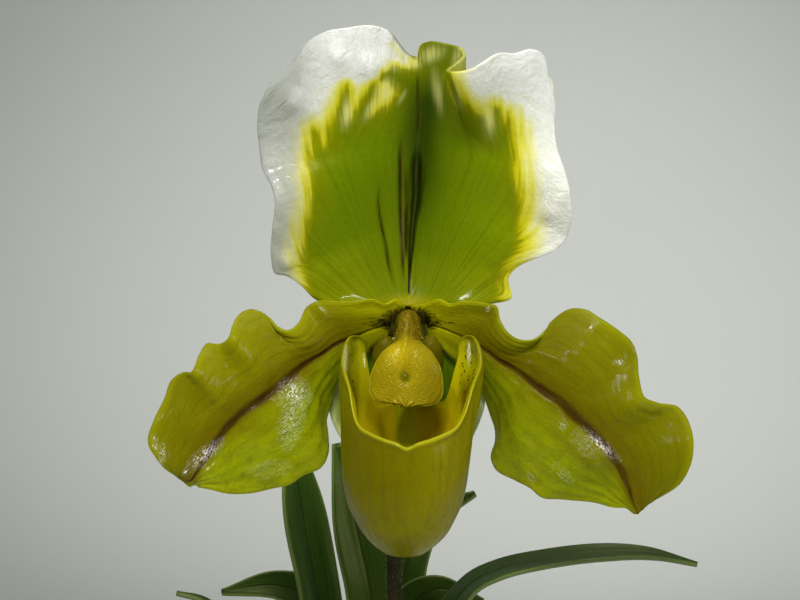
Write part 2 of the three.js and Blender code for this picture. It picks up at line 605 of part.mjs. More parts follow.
function barkMix() {
  const random = randomFrom(SEED);
  const spread = (range) => (random() - 0.5) * range;
  const floor = POT.wall + GAP;
  const edge = MIX_TOP - 1.5;
  const section = [[0, floor], [inside(floor) - GAP, floor], [inside(MIX_TOP) - GAP, edge], [0, MIX_TOP]];
  const fill = new THREE.LatheGeometry(section.map(([r, z]) => new THREE.Vector2(r, z)), POT.sides);
  fill.rotateX(Math.PI / 2);
  let solid = toSolid(outward(mergeVertices(fill)));
  for (let k = 0; k < CHIPS; k += 1) {
    // sunflower spacing, so that the chips cover the mix evenly
    const far = (inside(MIX_TOP) - CHIP.fromWall) * Math.sqrt((k + 0.5) / CHIPS);
    const angle = k * GOLDEN_ANGLE;
    const size = CHIP.sizes.map(([least, more]) => least + more * random());
    const chip = new THREE.BoxGeometry(...size);
    const corners = chip.attributes.position;
    const shrink = 0.72 + 0.2 * random();
    for (let c = 0; c < corners.count; c += 1) {
      if (corners.getZ(c) > 0) {
        corners.setXY(c, corners.getX(c) * shrink, corners.getY(c) * shrink);
      }
    }
    chip.rotateY(spread(CHIP.tilt));
    chip.rotateX(spread(CHIP.tilt));
    chip.rotateZ(random() * Math.PI);
    chip.translate(far * Math.cos(angle), far * Math.sin(angle), MIX_TOP + spread(CHIP.rise));
    solid = solid.add(toSolid(chip));
  }
  for (const { at, radii } of CROWNS) {
    const place = [at[0], at[1] + PLANT_Y, at[2]];
    const clear = radii.map((r) => r + GAP);
    solid = solid.subtract(toSolid(ellipsoid(place, clear, 20, 8)));
    solid = solid.subtract(toSolid(ovalBar(place, clear, place[2], 2 * clear[2])));
  }
  return fromSolid(solid);
}

// ---- the object ----
const orchid = new THREE.Group();
const plant = new THREE.Group();
plant.position.y = PLANT_Y;
orchid.add(plant);

function piece(parent, name, geometry, color, roughness) {
  const mesh = new THREE.Mesh(geometry, new THREE.MeshStandardMaterial({ color, roughness, metalness: 0 }));
  mesh.name = name;
  parent.add(mesh);
}

piece(orchid, 'pot', pot(), 0xa8623f, 0.85);
piece(orchid, 'bark_mix', barkMix(), 0x5b3f2a, 0.95);
for (const base of CROWNS) {
  piece(plant, base.name, crown(base), 0x8a9a5a, 0.6);
}
for (const [name, spec] of Object.entries(LEAVES)) {
  piece(plant, name, leafBlade(spec), 0x2f4a22, 0.45);
}
piece(plant, 'scape', scape(), 0x3d3730, 0.8);
piece(plant, 'ovary', ovary(), 0x6b7530, 0.7);

const across = (count) => steps(count, -1, 1);
piece(plant, 'bract', blade(bractSurface(), across(10), steps(6), BRACT.thickness), 0x7d8c3a, 0.6);
piece(plant, 'synsepal', blade(tepal(SYNSEPAL, -1), across(8), steps(12), TEPAL), 0x9fb04a, 0.4);
const dorsalAcross = [...steps(10, -1, -0.1), 0, ...steps(14, 0.06, 1)];
piece(plant, 'dorsal_sepal', blade(dorsalSurface(), dorsalAcross, steps(20), TEPAL), 0x7f9a1c, 0.35);
piece(plant, 'petal_left', blade(tepal(PETAL_LEFT, 1.2), across(10), steps(27), TEPAL), 0x8d9018, 0.3);
piece(plant, 'petal_right', blade(tepal(PETAL_RIGHT, 1.2), across(10), steps(27), TEPAL), 0x8d9018, 0.3);
piece(plant, 'pouch', pouch(), 0x83800f, 0.25);
piece(plant, 'column', column(), 0xa8a040, 0.5);
piece(plant, 'staminode', blade(tepal(STAMINODE, 0.5), across(10), steps(12), SHIELD), 0xb09a1c, 0.3);

export default orchid;
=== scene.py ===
"""Slipper orchid in a pot: the finer pieces, their materials, the light and the camera."""
import math
import bpy
import numpy as np
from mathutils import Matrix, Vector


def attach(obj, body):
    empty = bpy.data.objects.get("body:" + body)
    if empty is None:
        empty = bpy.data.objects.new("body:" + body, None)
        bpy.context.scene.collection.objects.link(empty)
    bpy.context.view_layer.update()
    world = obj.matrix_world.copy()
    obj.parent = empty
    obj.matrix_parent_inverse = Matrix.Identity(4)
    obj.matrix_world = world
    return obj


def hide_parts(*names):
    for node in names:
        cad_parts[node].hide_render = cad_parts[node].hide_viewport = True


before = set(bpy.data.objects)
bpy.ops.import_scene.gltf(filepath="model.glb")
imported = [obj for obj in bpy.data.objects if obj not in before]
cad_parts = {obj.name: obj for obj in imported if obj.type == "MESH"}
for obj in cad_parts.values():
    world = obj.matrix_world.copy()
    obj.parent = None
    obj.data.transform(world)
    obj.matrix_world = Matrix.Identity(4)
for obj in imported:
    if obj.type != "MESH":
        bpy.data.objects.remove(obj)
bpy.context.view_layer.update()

MM = 0.001
PLANT_Y = -15.0                    # the plant's frame stands forward of the pot's axis, mm
TEPAL, LEAF, SHIELD, BRACT, POUCH_WALL = 0.75, 1.1, 1.1, 0.6, 0.9    # thicknesses, mm
RECEPTACLE = (1.6, -9.5, 284.9)    # where the parts of the bloom meet
MIDDLE_X = 1.7                     # the bloom's middle
PETAL_BOW = 1.2
STEP = 1e-3                        # of a surface's parameters, where its slope is taken
ROUND = 2 * math.pi


# ---------------------------------------------------------------- curves
def vec(rows):
    return np.array(rows, float)


def catmull(points, t, centripetal=True):
    """Points of the Catmull-Rom curve through `points` at the parameters t, 0 to 1."""
    p = vec(points)
    p = np.vstack([2 * p[0] - p[1], p, 2 * p[-1] - p[-2]])
    spans = len(p) - 3
    at = np.clip(np.asarray(t, float), 0, 1) * spans
    k = np.minimum(at.astype(int), spans - 1)
    w = (at - k)[:, None]
    x0, x1, x2, x3 = p[k], p[k + 1], p[k + 2], p[k + 3]
    if centripetal:
        d0, d1, d2 = (np.sum((b - a) ** 2, 1)[:, None] ** 0.25 for a, b in ((x0, x1), (x1, x2), (x2, x3)))
        t1 = ((x1 - x0) / d0 - (x2 - x0) / (d0 + d1) + (x2 - x1) / d1) * d1
        t2 = ((x2 - x1) / d1 - (x3 - x1) / (d1 + d2) + (x3 - x2) / d2) * d1
    else:
        t1, t2 = (x2 - x0) / 2, (x3 - x1) / 2
    return x1 + t1 * w + (3 * (x2 - x1) - 2 * t1 - t2) * w ** 2 + (2 * (x1 - x2) + t1 + t2) * w ** 3


class Curve:
    """A smooth curve read by its length, 0 to 1."""

    def __init__(self, points):
        self.points = points
        self.t = np.linspace(0, 1, 401)
        way = catmull(points, self.t)
        self.length = np.concatenate([[0], np.cumsum(np.linalg.norm(np.diff(way, axis=0), axis=1))])

    def at(self, s):
        return catmull(self.points, self.place(s))

    def place(self, s):
        return np.interp(np.clip(s, 0, 1) * self.length[-1], self.length, self.t)

    def tangent(self, s):
        t = self.place(s)
        low, high = np.maximum(t - 1e-4, 0), np.minimum(t + 1e-4, 1)
        return unit(catmull(self.points, high) - catmull(self.points, low))


def unit(v):
    return v / np.maximum(np.linalg.norm(v, axis=-1, keepdims=True), 1e-12)


def profile(values):
    """Smooth values through numbers spaced evenly from 0 to 1."""
    rows = [[k, v] for k, v in enumerate(values)]
    return lambda t: catmull(rows, t, False)[:, 1]


def table(pairs):
    """Smooth values through [place, value] pairs, level beyond both ends."""
    x, y = vec(pairs)[:, 0], vec(pairs)[:, 1]
    slope = np.zeros(len(x))
    slope[1:-1] = (y[2:] - y[:-2]) / (x[2:] - x[:-2])

    def read(at):
        at = np.clip(at, x[0], x[-1])
        k = np.clip(np.searchsorted(x, at, side="right") - 1, 0, len(x) - 2)
        run = x[k + 1] - x[k]
        t = (at - x[k]) / run
        ease = t * t * (3 - 2 * t)
        return (y[k] + (y[k + 1] - y[k]) * ease
                + run * (slope[k] * t * (1 - t) ** 2 - slope[k + 1] * t * t * (1 - t)))
    return read


def fade(x, low, high):
    t = np.clip((x - low) / (high - low), 0, 1)
    return t * t * (3 - 2 * t)


def bump(x, middle, width):
    return np.exp(-(((x - middle) / width) ** 2))


def ripple(u, v, seed, count=5, low=1.0, high=3.0):
    """A smooth random height field, about -1 to 1."""
    r = np.random.default_rng(seed)
    total = np.zeros(np.broadcast(u, v).shape)
    for _ in range(count):
        f, g = r.uniform(low, high, 2)
        a, b = r.uniform(0, ROUND, 2)
        total = total + np.sin(f * u + a + 1.3 * np.sin(g * v * 0.7 + b)) * np.sin(g * v + b)
    return total / math.sqrt(count)


# ---------------------------------------------------------------- outlines, mm, in the plant's frame
DORSAL = {
    "mid": [
        [1.7, -10.5, 288.7], [2, -8.5, 296], [2.5, -7.5, 304.3], [2.7, -7.5, 310.5], [3.3, -9, 320.6],
        [3.8, -11, 328.6], [4, -13, 334.6], [3.8, -14, 339]],
    "upper": [
        [-2.8, -10.5, 288.7], [-10, -9.5, 288.9], [-16.7, -8.5, 289.8], [-20.5, -8, 293.2],
        [-23.3, -7, 294.9], [-25.6, -6.5, 295.5], [-26.4, -8, 299.2], [-26, -10.5, 304.6],
        [-25.4, -12, 309.7], [-26.2, -11.5, 313.2], [-28, -9.5, 316.5], [-28.7, -8.5, 321],
        [-29.1, -10, 325.6], [-28.2, -13, 330], [-27.1, -14, 332.2], [-26.1, -14, 334]],
    "lower": [
        [6.3, -10.5, 288.7], [13.2, -9.5, 288.9], [19.8, -9, 289.4], [22.7, -8.5, 290.4], [22.1, -8.5, 294.3],
        [23.7, -9, 296.5], [28.5, -9.5, 298.8], [31.8, -9, 300.2], [34.1, -9, 303], [35, -11, 307],
        [34.6, -13, 311], [33.6, -13, 315.5], [32.2, -11, 320], [31.5, -10.5, 325.6], [31.5, -12, 330.2],
        [30.6, -13.5, 333.7]],
    "top_left": [
        [-26.1, -14, 334], [-23.7, -14, 336], [-20.8, -15, 339], [-18.3, -16.5, 342], [-14.7, -17.5, 344],
        [-10.4, -18, 344.7], [-6, -17.5, 345.2], [-2.4, -16, 344.3], [0, -14.5, 341.7], [1.8, -14, 339.7],
        [3.8, -14, 339]],
    "top_right": [
        [3.8, -14, 339], [4.2, -15, 341.3], [6, -16.5, 342.1], [9, -18, 341.5], [12, -20, 340.4],
        [12.6, -21.5, 338.7], [11, -22.5, 337.2], [9.3, -25, 335.6], [10.8, -27.5, 335], [13.8, -27, 335.6],
        [16.4, -25, 337.2], [19.5, -22.5, 339.2], [23, -20, 339.4], [26.3, -18, 340.4], [28.6, -16, 339.4],
        [29.7, -14.5, 336.5], [30.6, -13.5, 333.7]],
}
PETAL_LEFT = {
    "upper": [
        [1.1, -12.2, 288.7], [-0.8, -13.8, 290.2], [-3, -15, 289.3], [-5.4, -17, 290.2], [-9.4, -19.5, 289.6],
        [-13, -20.5, 289.6], [-16.6, -19, 289.8], [-18.9, -18, 288.2], [-20.2, -20, 285.6], [-22.3, -23, 284],
        [-24.7, -22.5, 284.8], [-26.9, -18, 287], [-29.8, -17, 288.2], [-32, -19.5, 287.4],
        [-33.4, -23, 284.8], [-34, -24, 282.5], [-36.3, -21, 281.2], [-38.6, -20, 281.2], [-40, -23, 279.1],
        [-41.2, -25, 275.9], [-43.6, -22, 275.5], [-45.7, -21, 274], [-46.9, -23, 270.5], [-48.8, -25, 266.2],
        [-49.9, -26, 262.1], [-48.4, -26.5, 258.8], [-46.3, -26, 256.4], [-44, -25, 255.1]],
    "mid": [
        [-1.9, -11.6, 285.5], [-7.1, -15, 283.5], [-12.2, -18.5, 281.4], [-16, -20.5, 279],
        [-19.9, -22.5, 276.5], [-23.8, -24.5, 273.1], [-27.7, -25.5, 270.2], [-31.7, -26, 267.3],
        [-35.6, -26, 262.9], [-38.6, -25.5, 258.3], [-41, -25, 254.9], [-42.8, -24.5, 253.9]],
    "lower": [
        [-2.9, -11.6, 282.3], [-6.5, -12.3, 279.4], [-10, -13, 276.2], [-12.6, -14, 273], [-14, -15, 269.4],
        [-15.1, -16, 265.8], [-14.5, -17.5, 262.7], [-14.4, -19.5, 259.4], [-15.8, -20, 256.6],
        [-19.4, -20, 255], [-22.2, -21, 253.3], [-26, -20, 252.2], [-29.9, -21.5, 251.5], [-33.8, -24, 251.5],
        [-37.3, -25, 252.5], [-39.7, -24.5, 253.9], [-41.7, -24, 252.9]],
}
PETAL_RIGHT = {
    "upper": [
        [2.1, -12.2, 288.7], [4.4, -13.6, 289.1], [7.9, -16.4, 290.2], [10, -17.8, 289.3],
        [12.4, -19.5, 289.8], [16, -20.5, 289.6], [19.4, -20, 288.8], [20, -20, 286.4], [21.5, -22.5, 283.6],
        [23.8, -24.5, 282.1], [26.4, -24.5, 281.9], [28.9, -21, 283.4], [31.5, -17.5, 286.6],
        [34.2, -17, 288.2], [37.3, -18.5, 288.2], [39.9, -21, 286.6], [43.5, -21.5, 284], [46.3, -21, 281.4],
        [47.3, -21, 278.4], [47.5, -24, 274.5], [48.5, -26, 270.8], [51.6, -24, 269.5], [55, -22, 268.9],
        [56.9, -23, 266.7], [58, -26, 262.7], [57.5, -27, 257.8], [55.4, -26, 253.6], [51.9, -25, 251.2],
        [48.8, -24.5, 249.7]],
    "mid": [
        [5.1, -11.6, 285.5], [10.5, -15, 283.5], [16, -18.5, 280.8], [20, -20.5, 278], [23.9, -22.5, 275.5],
        [27.8, -24.5, 272.5], [31.7, -25.5, 269.8], [34.6, -26, 266.9], [37.6, -26, 264.3],
        [40.6, -26, 260.9], [44.4, -25.5, 255], [46, -25, 250.4], [47.2, -24.5, 247.6]],
    "lower": [
        [6.1, -11.6, 282.3], [9.7, -12.3, 279.4], [13.4, -13, 275.8], [16.2, -14, 272.6], [17.6, -15, 269.2],
        [19, -16, 264.8], [18.9, -17, 261.4], [18.2, -18.5, 258.5], [19.4, -19, 255.9], [23, -19.5, 254.2],
        [26, -20.5, 252.6], [28.3, -21.5, 250.7], [32.3, -21, 250.1], [37.9, -22, 249.9], [42.1, -24, 248.9],
        [44.8, -24.5, 248.7], [46.1, -24, 247.9]],
}
SYNSEPAL = {
    "upper": [
        [-1.6, -10.6, 282.3], [-5.7, -10.2, 281.5], [-10, -11, 278], [-13, -12, 273], [-14.4, -13, 268.4],
        [-13.1, -15, 264.2], [-10.1, -16, 259.4], [-5.6, -17, 253.8], [-0.5, -17, 250]],
    "mid": [[1.6, -10.6, 282.3], [1.4, -11.5, 276], [1.4, -13, 269], [1.4, -15.5, 259.5], [1.4, -17, 249.6]],
    "lower": [
        [4.9, -10.6, 282.3], [9, -10.2, 281.5], [13, -11, 278], [16, -12, 273.5], [17.2, -13, 269.8],
        [15.7, -15, 264.8], [12.7, -16, 259.4], [8.4, -17, 253.8], [3.3, -17, 250]],
}
STAMINODE = {
    "upper": [
        [0.8, -25.2, 287.2], [0, -27.2, 284.5], [-1.8, -29, 281.7], [-3.3, -29.5, 279.8],
        [-4.9, -30.2, 277.2], [-5.9, -30.7, 274.3], [-5.9, -31.2, 271.7], [-4.9, -31.8, 270.2],
        [-2.4, -32.4, 269.6], [-0.2, -32.8, 269.8]],
    "mid": [
        [1.8, -25.2, 287.2], [1.7, -28.1, 284.5], [1.3, -30.4, 281.2], [1, -31.5, 278], [1, -32.1, 274.8],
        [0.9, -32.6, 271.7], [0.9, -33, 269]],
    "lower": [
        [2.8, -25.2, 287.2], [3.7, -27.2, 284.5], [5.1, -29, 281.3], [6.7, -29.5, 278.8], [7.9, -30.2, 276.6],
        [8.4, -30.7, 273.9], [8.4, -31.2, 271.7], [7.5, -31.8, 269.9], [4.7, -32.6, 269.2],
        [2, -32.8, 269.4]],
}
# The pouch from the toe up: z, half width, x of the middle, front y, back y.
POUCH = [
    [240.1, 0, 0.9, -37.5, -37.5], [240.5, 2.7, 0.9, -40.5, -34.5], [241.5, 4.7, 0.9, -42.5, -32],
    [243.2, 6.8, 0.9, -44.5, -29.5], [245.1, 8.4, 0.9, -46, -27.5], [247.4, 9.6, 0.9, -47, -25.8],
    [250, 10.9, 0.9, -47.8, -24], [254, 12, 1, -48.4, -22.4], [260, 12.7, 1.2, -48.2, -21],
    [265, 13, 1.5, -47.5, -20.3], [270, 13.6, 2, -46.6, -19.6], [274, 14, 2.2, -45.8, -18.6],
    [277.5, 14.1, 2.4, -45.2, -16.6], [280.5, 13.3, 2.4, -44.8, -13.6], [283, 11.9, 2.3, -44.4, -11.6],
    [286, 9.8, 2.2, -44, -10]]
# Height of the mouth's edge by the angle from the front.
LIP = [
    [0, 262], [9, 262.9], [20, 263.6], [34, 264.7], [44, 265.7], [50, 267.2], [54, 269.6], [57, 272.8],
    [62, 275], [69, 277.2], [77, 280.4], [86, 282.3], [97, 282.8], [108, 282.9], [119, 282.8], [128, 282],
    [135, 280.4], [140, 277.4], [144, 272.8], [149, 269.9], [160, 270], [165, 271.3], [168, 275],
    [170.5, 279.5], [173, 281.5], [180, 281.8]]
OVARY = [[-1.2, 5.6, 244], [-0.9, 6.6, 256], [0, 5.4, 269], [1, 1.4, 279.5], [1.6, -4, 284.6], RECEPTACLE]
SCAPE = [[1.2, 12, 84], [0.8, 11, 120], [-0.6, 8.5, 180], [-1.2, 5.6, 225], [-1.2, 5.6, 243.7]]
LEAVES = {
    "leaf_1": {
        "route": [[-6, 12, 84], [-9, 13, 125], [-13, 19, 175], [-17.9, 27, 224], [-21, 29, 241],
                  [-24, 30, 262]],
        "facing": [[1, 0, 0.1], [1, -0.3, 0.2], [1, -0.7, 0.2], [0.5, -1, 0.2]],
        "widths": [5.6, 8, 10.4, 12.4, 13.4, 13.8, 13.6, 13.2, 12.8, 11.6, 2],
        "fold": [45, 35, 20, 14, 10]},
    "leaf_2": {
        "route": [[-3, 12, 84], [-4, 17, 125], [-4.5, 21, 175], [-6.3, 24, 225], [-8.6, 24.5, 237],
                  [-13.8, 25, 259]],
        "facing": [[1, 0, 0.1], [0.8, -0.6, 0.2], [0.3, -1, 0.2], [0.1, -1, 0.2]],
        "widths": [5.2, 6.8, 9, 11, 12.2, 12.8, 12.8, 12, 11.4, 10.8, 2],
        "fold": [45, 35, 22, 16, 12]},
    "leaf_3": {
        "route": [
            [5.2, 12, 84], [7, 12, 130], [6.6, 11, 175], [7, 10, 205], [9.8, 8.5, 222], [15, 7, 230],
            [21, 6, 233.2], [30, 5, 235.4], [41.5, 4, 237], [52, 4, 237], [62, 4, 234.8]],
        "facing": [[-1, 0, 0.1], [-1, -0.2, 0.1], [-0.7, -0.5, 0.5], [-0.3, -0.45, 1], [0, -0.26, 1],
                   [0.1, -0.3, 1]],
        "widths": [5.2, 7.4, 9.6, 11.4, 12.8, 13.6, 13.8, 13.2, 11.8, 8.4, 1.5],
        "fold": [45, 35, 20, 6, 4, 4]},
    "leaf_4": {
        "route": [
            [-8.6, 36, 84], [-13, 36, 130], [-16, 36, 175], [-18, 35, 207], [-19.5, 33, 223.5],
            [-27, 30, 227.5], [-38.7, 27, 226.5]],
        "facing": [[1, 0, 0.1], [1, -0.2, 0.2], [0.7, -0.6, 0.4], [0.1, -0.8, 0.6], [0, -0.8, 0.6]],
        "widths": [5.4, 7.6, 9.8, 11.6, 12.8, 13.4, 13.6, 13.2, 12, 9, 1.5],
        "fold": [45, 35, 22, 12, 8]},
    "leaf_5": {
        "route": [
            [-4.6, 36, 84], [-4, 40, 130], [-3, 44, 180], [-0.8, 47, 215], [1.9, 48.5, 232],
            [7.5, 49.5, 241.5], [17, 50, 246.4]],
        "facing": [[1, 0, 0.1], [0.8, -0.6, 0.1], [0.2, -1, 0.2], [0, -1, 0.3], [0, -1, 0.4]],
        "widths": [5.2, 7.4, 9.4, 11, 12.2, 12.8, 12.8, 12.2, 11, 8.5, 1.5],
        "fold": [45, 35, 22, 12, 8]},
    "leaf_6": {
        "route": [
            [-9, 12, 84], [-14, 11.5, 125], [-20, 10.5, 165], [-27, 10, 200], [-34, 9, 219],
            [-41, 8.5, 226.5], [-47, 8, 228.4]],
        "facing": [[1, 0, 0.1], [1, 0, 0.3], [1, -0.1, 0.6], [0.4, -0.2, 1], [0.1, -0.25, 1]],
        "widths": [5.4, 7.4, 9.4, 11, 12, 12.2, 11.6, 10.2, 8.2, 5.4, 1.3],
        "fold": [45, 35, 20, 10, 6]},
    "leaf_7": {
        "route": [
            [2.6, 36, 84], [5, 34.5, 130], [4, 34.5, 180], [0.6, 35, 209], [2.2, 35, 222.5], [8, 34, 226.4],
            [18.3, 33, 223.8]],
        "facing": [[-1, 0, 0.1], [-1, -0.4, 0.1], [-0.3, -1, 0.2], [0.1, -1, 0.4], [0.1, -1, 0.5]],
        "widths": [5.4, 7.4, 9.4, 11.2, 12.4, 12.8, 12.8, 12.2, 11, 8.4, 1.5],
        "fold": [45, 35, 22, 12, 8]},
}


# ---------------------------------------------------------------- surfaces
def tepal(outline, bow):
    """The surface between two margins and a midrib; its waves die away towards the midrib."""
    upper, mid, lower = (Curve(outline[k]) for k in ("upper", "mid", "lower"))

    def surface(u, v):
        reach = np.minimum(1, np.abs(u))
        centre = mid.at(v)
        edge = np.where((u < 0)[:, None], upper.at(v), lower.at(v))
        point = centre + (edge - centre) * reach[:, None]
        point[:, 1] = centre[:, 1] + (edge[:, 1] - centre[:, 1]) * reach ** 1.8
        point[:, 1] -= bow * np.sin(np.pi * reach) * np.sin(np.pi * np.minimum(1, v * 1.15))
        return point
    return surface


dorsal_body = tepal(DORSAL, 1.6)
dorsal_tops = [Curve(DORSAL["top_left"]), Curve(DORSAL["top_right"])]


def dorsal_surface(u, v):
    """The upper sepal, with its crumpled top margin blended in."""
    side = np.clip(u, -1, 1)
    point = dorsal_body(u, v)
    top = np.where((side < 0)[:, None], dorsal_tops[0].at(1 + side), dorsal_tops[1].at(side))
    point = point + (top - dorsal_body(side, np.ones_like(v))) * (fade(v, 0.68, 1) ** 1.2)[:, None]
    point[:, 1] += 1.4 * np.exp(-((u / 0.12) ** 2)) * np.sin(np.pi * np.minimum(1, v * 1.1))
    return point


pouch_tables = [table([[row[0], row[k]] for row in POUCH]) for k in (1, 2, 3, 4)]
lip_height = table(LIP)


def pouch_surface(angle, t):
    """The pouch's outer face by the angle from the front, degrees, and the height from toe to mouth."""
    turn = (angle + 540) % 360 - 180
    toe = POUCH[0][0]
    z = toe + (lip_height(np.abs(turn)) - toe) * np.maximum(t, 0) ** 1.6
    half_width, middle, front, back = (read(z) for read in pouch_tables)
    a = np.radians(angle)
    y = (back + front) / 2 - (back - front) / 2 * np.cos(a)
    return np.stack([middle + half_width * np.sin(a), y, z], -1)


def leaf_surface(spec):
    keel = Curve(spec["route"])
    facing = [profile([row[k] for row in spec["facing"]]) for k in range(3)]
    width, fold = profile(spec["widths"]), profile(spec["fold"])

    def surface(u, v):
        along = keel.tangent(v)
        up = np.stack([part(v) for part in facing], -1)
        up = unit(up - along * np.sum(up * along, 1, keepdims=True))
        side = np.cross(along, up)
        half = (width(v) / 2)[:, None]
        angle = np.radians(fold(v))[:, None]
        lift = (np.sqrt(u * u + 0.02) - math.sqrt(0.02))[:, None]
        return keel.at(v) + side * u[:, None] * half * np.cos(angle) + up * lift * half * np.sin(angle)
    return surface


def normals(surface, u, v):
    across = surface(u + STEP, v) - surface(u - STEP, v)
    along = surface(u, np.minimum(1, v + STEP)) - surface(u, np.maximum(0, v - STEP))
    return unit(np.cross(across, along))


def front_normals(surface, u, v):
    normal = normals(surface, u, v)
    return normal * np.where(normal[:, 1:2] > 0, -1, 1)


# ---------------------------------------------------------------- meshes
def new_object(name, points, faces, material):
    mesh = bpy.data.meshes.new(name)
    mesh.from_pydata(points.tolist(), [], [f for rows in faces for f in np.asarray(rows).tolist()])
    mesh.polygons.foreach_set("use_smooth", [True] * len(mesh.polygons))
    mesh.materials.append(material)
    obj = bpy.data.objects.new(name, mesh)
    bpy.context.scene.collection.objects.link(obj)
    return obj


def add_mesh(name, points, faces, material, fields=None, uv=None, shift=PLANT_Y, replaces=None):
    """A piece from points in mm and lists of faces; fields are values kept at the points."""
    obj = new_object(name, (np.asarray(points, float) + [0, shift, 0]) * MM, faces, material)
    mesh = obj.data
    for key, value in (fields or {}).items():
        value = np.asarray(value, np.float32)
        kind, prop = ("FLOAT", "value") if value.ndim == 1 else ("FLOAT_VECTOR", "vector")
        mesh.attributes.new(key, kind, "POINT").data.foreach_set(prop, value.ravel())
    if uv is not None:
        corner = np.empty(len(mesh.loops), np.int32)
        mesh.loops.foreach_get("vertex_index", corner)
        mesh.uv_layers.new(name="UVMap").data.foreach_set("uv", np.asarray(uv, np.float32)[corner].ravel())
    mesh.update()
    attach(obj, "root")
    if replaces:
        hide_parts(*replaces)
    return obj


def turns(count):
    """Angles going once round."""
    return np.arange(count) * ROUND / count


def rings(high, wide):
    """Numbers of the points of `high` rings of `wide` points each, and of the next ones round."""
    k = np.arange(high * wide).reshape(high, wide)
    return k, np.roll(k, -1, 1)


def ring_faces(high, wide, inward=False, closed=False):
    """Faces between rings of points; closed ones go on from the last ring to the first."""
    k, after = rings(high, wide)
    if closed:
        k, after = np.vstack([k, k[:1]]), np.vstack([after, after[:1]])
    corners = [k[:-1], after[:-1], after[1:], k[1:]]
    if inward:
        corners[1:] = corners[:0:-1]
    return np.stack(corners, -1).reshape(-1, 4)


def globe(around, down):
    """A ball's longitudes, latitudes, directions without the poles, and its faces; the poles are its
    last two points."""
    lon, lat = (g.ravel() for g in np.meshgrid(turns(around), np.linspace(0, np.pi, down + 1)[1:-1]))
    out = np.stack([np.sin(lat) * np.cos(lon), np.sin(lat) * np.sin(lon), np.cos(lat)], -1)
    k, after = rings(down - 1, around)
    pole = np.full(around, len(out))
    caps = np.concatenate([np.stack([k[0], after[0], pole], -1), np.stack([after[-1], k[-1], pole + 1], -1)])
    return lon, lat, out, [ring_faces(down - 1, around, True), caps]


def blade_faces(wide, high, flip):
    """Faces of a closed blade whose two faces have wide x high points each."""
    k = np.arange(wide * high).reshape(high, wide)
    size = wide * high
    front = np.stack([k[:-1, :-1], k[:-1, 1:], k[1:, 1:], k[1:, :-1]], -1).reshape(-1, 4)
    ring = np.concatenate([k[0, :-1], k[:-1, -1], k[-1, :0:-1], k[:0:-1, 0]])
    after = np.roll(ring, -1)
    rim = np.stack([after, ring, ring + size, after + size], -1)
    faces = [front, front[:, ::-1] + size, rim]
    return [f[:, ::-1] for f in faces] if flip else faces


def blade(name, surface, us, vs, thickness, material, fields=None, relief=None, facing=(0, -1, 0),
          rounding=0.7, replaces=None):
    """A blade of two faces; fields(u, v, points) gives what its material reads, relief(u, v, points)
    how far both faces stand off the surface, in mm."""
    u, v = (a.ravel() for a in np.meshgrid(us, vs))
    points, normal = surface(u, v), normals(surface, u, v)
    flip = float(np.mean(normal @ np.array(facing, float))) < 0
    if flip:
        normal = -normal
    extra = fields(u, v, points) if fields else {}
    if relief:
        points = points + normal * relief(u, v, points)[:, None]
    wide, high = len(us), len(vs)
    rows = points.reshape(high, wide, 3)
    way = np.pad(np.cumsum(np.linalg.norm(np.diff(rows, axis=1), axis=2), 1), ((0, 0), (1, 0)))
    edge = np.minimum(way, way[:, -1:] - way).ravel()
    half = thickness / 2 * (0.4 + 0.6 * fade(edge, 0, rounding))[:, None]
    both = np.vstack([points + normal * half, points - normal * half])
    twice = {key: np.concatenate([value, value]) for key, value in extra.items()}
    twice["rim"] = np.concatenate([edge, edge])
    twice["face"] = np.concatenate([np.ones(len(u)), np.zeros(len(u))])
    uv = np.stack([(u - us[0]) / (us[-1] - us[0]) * 0.5, v], -1)
    uv = np.vstack([uv, uv + [0.5, 0]])
    return add_mesh(name, both, blade_faces(wide, high, flip), material, twice, uv, replaces=replaces)


def frames_along(way):
    """Two directions across the way at each of its points, turning as little as they can."""
    tangent = unit(np.gradient(way, axis=0))
    seed = np.eye(3)[np.argmin(np.abs(tangent[0]))]
    first = [unit(np.cross(tangent[0], seed))]
    for t in tangent[1:]:
        n = first[-1] - t * (first[-1] @ t)
        first.append(unit(n))
    first = np.array(first)
    return first, np.cross(tangent, first)


def rod(way, radius, sides):
    """Points and faces of a closed rod; radius is (steps, sides) or (steps,)."""
    way = np.asarray(way, float)
    n, b = frames_along(way)
    angle = turns(sides)
    radius = np.asarray(radius, float)
    if radius.ndim == 1:
        radius = np.repeat(radius[:, None], sides, 1)
    ring = (way[:, None] + n[:, None] * (radius * np.cos(angle))[..., None]
            + b[:, None] * (radius * np.sin(angle))[..., None])
    points = np.vstack([ring.reshape(-1, 3), way[:1], way[-1:]])
    k, after = rings(len(way), sides)
    end = np.full(sides, len(points) - 2)
    caps = np.concatenate([np.stack([after[0], k[0], end], -1), np.stack([k[-1], after[-1], end + 1], -1)])
    return points, [ring_faces(len(way), sides), caps]


def joined(parts):
    """Several (points, faces) put together."""
    points, faces, start = [], [], 0
    for p, groups in parts:
        points.append(p)
        faces += [np.asarray(g) + start for g in groups]
        start += len(p)
    return np.vstack(points), faces


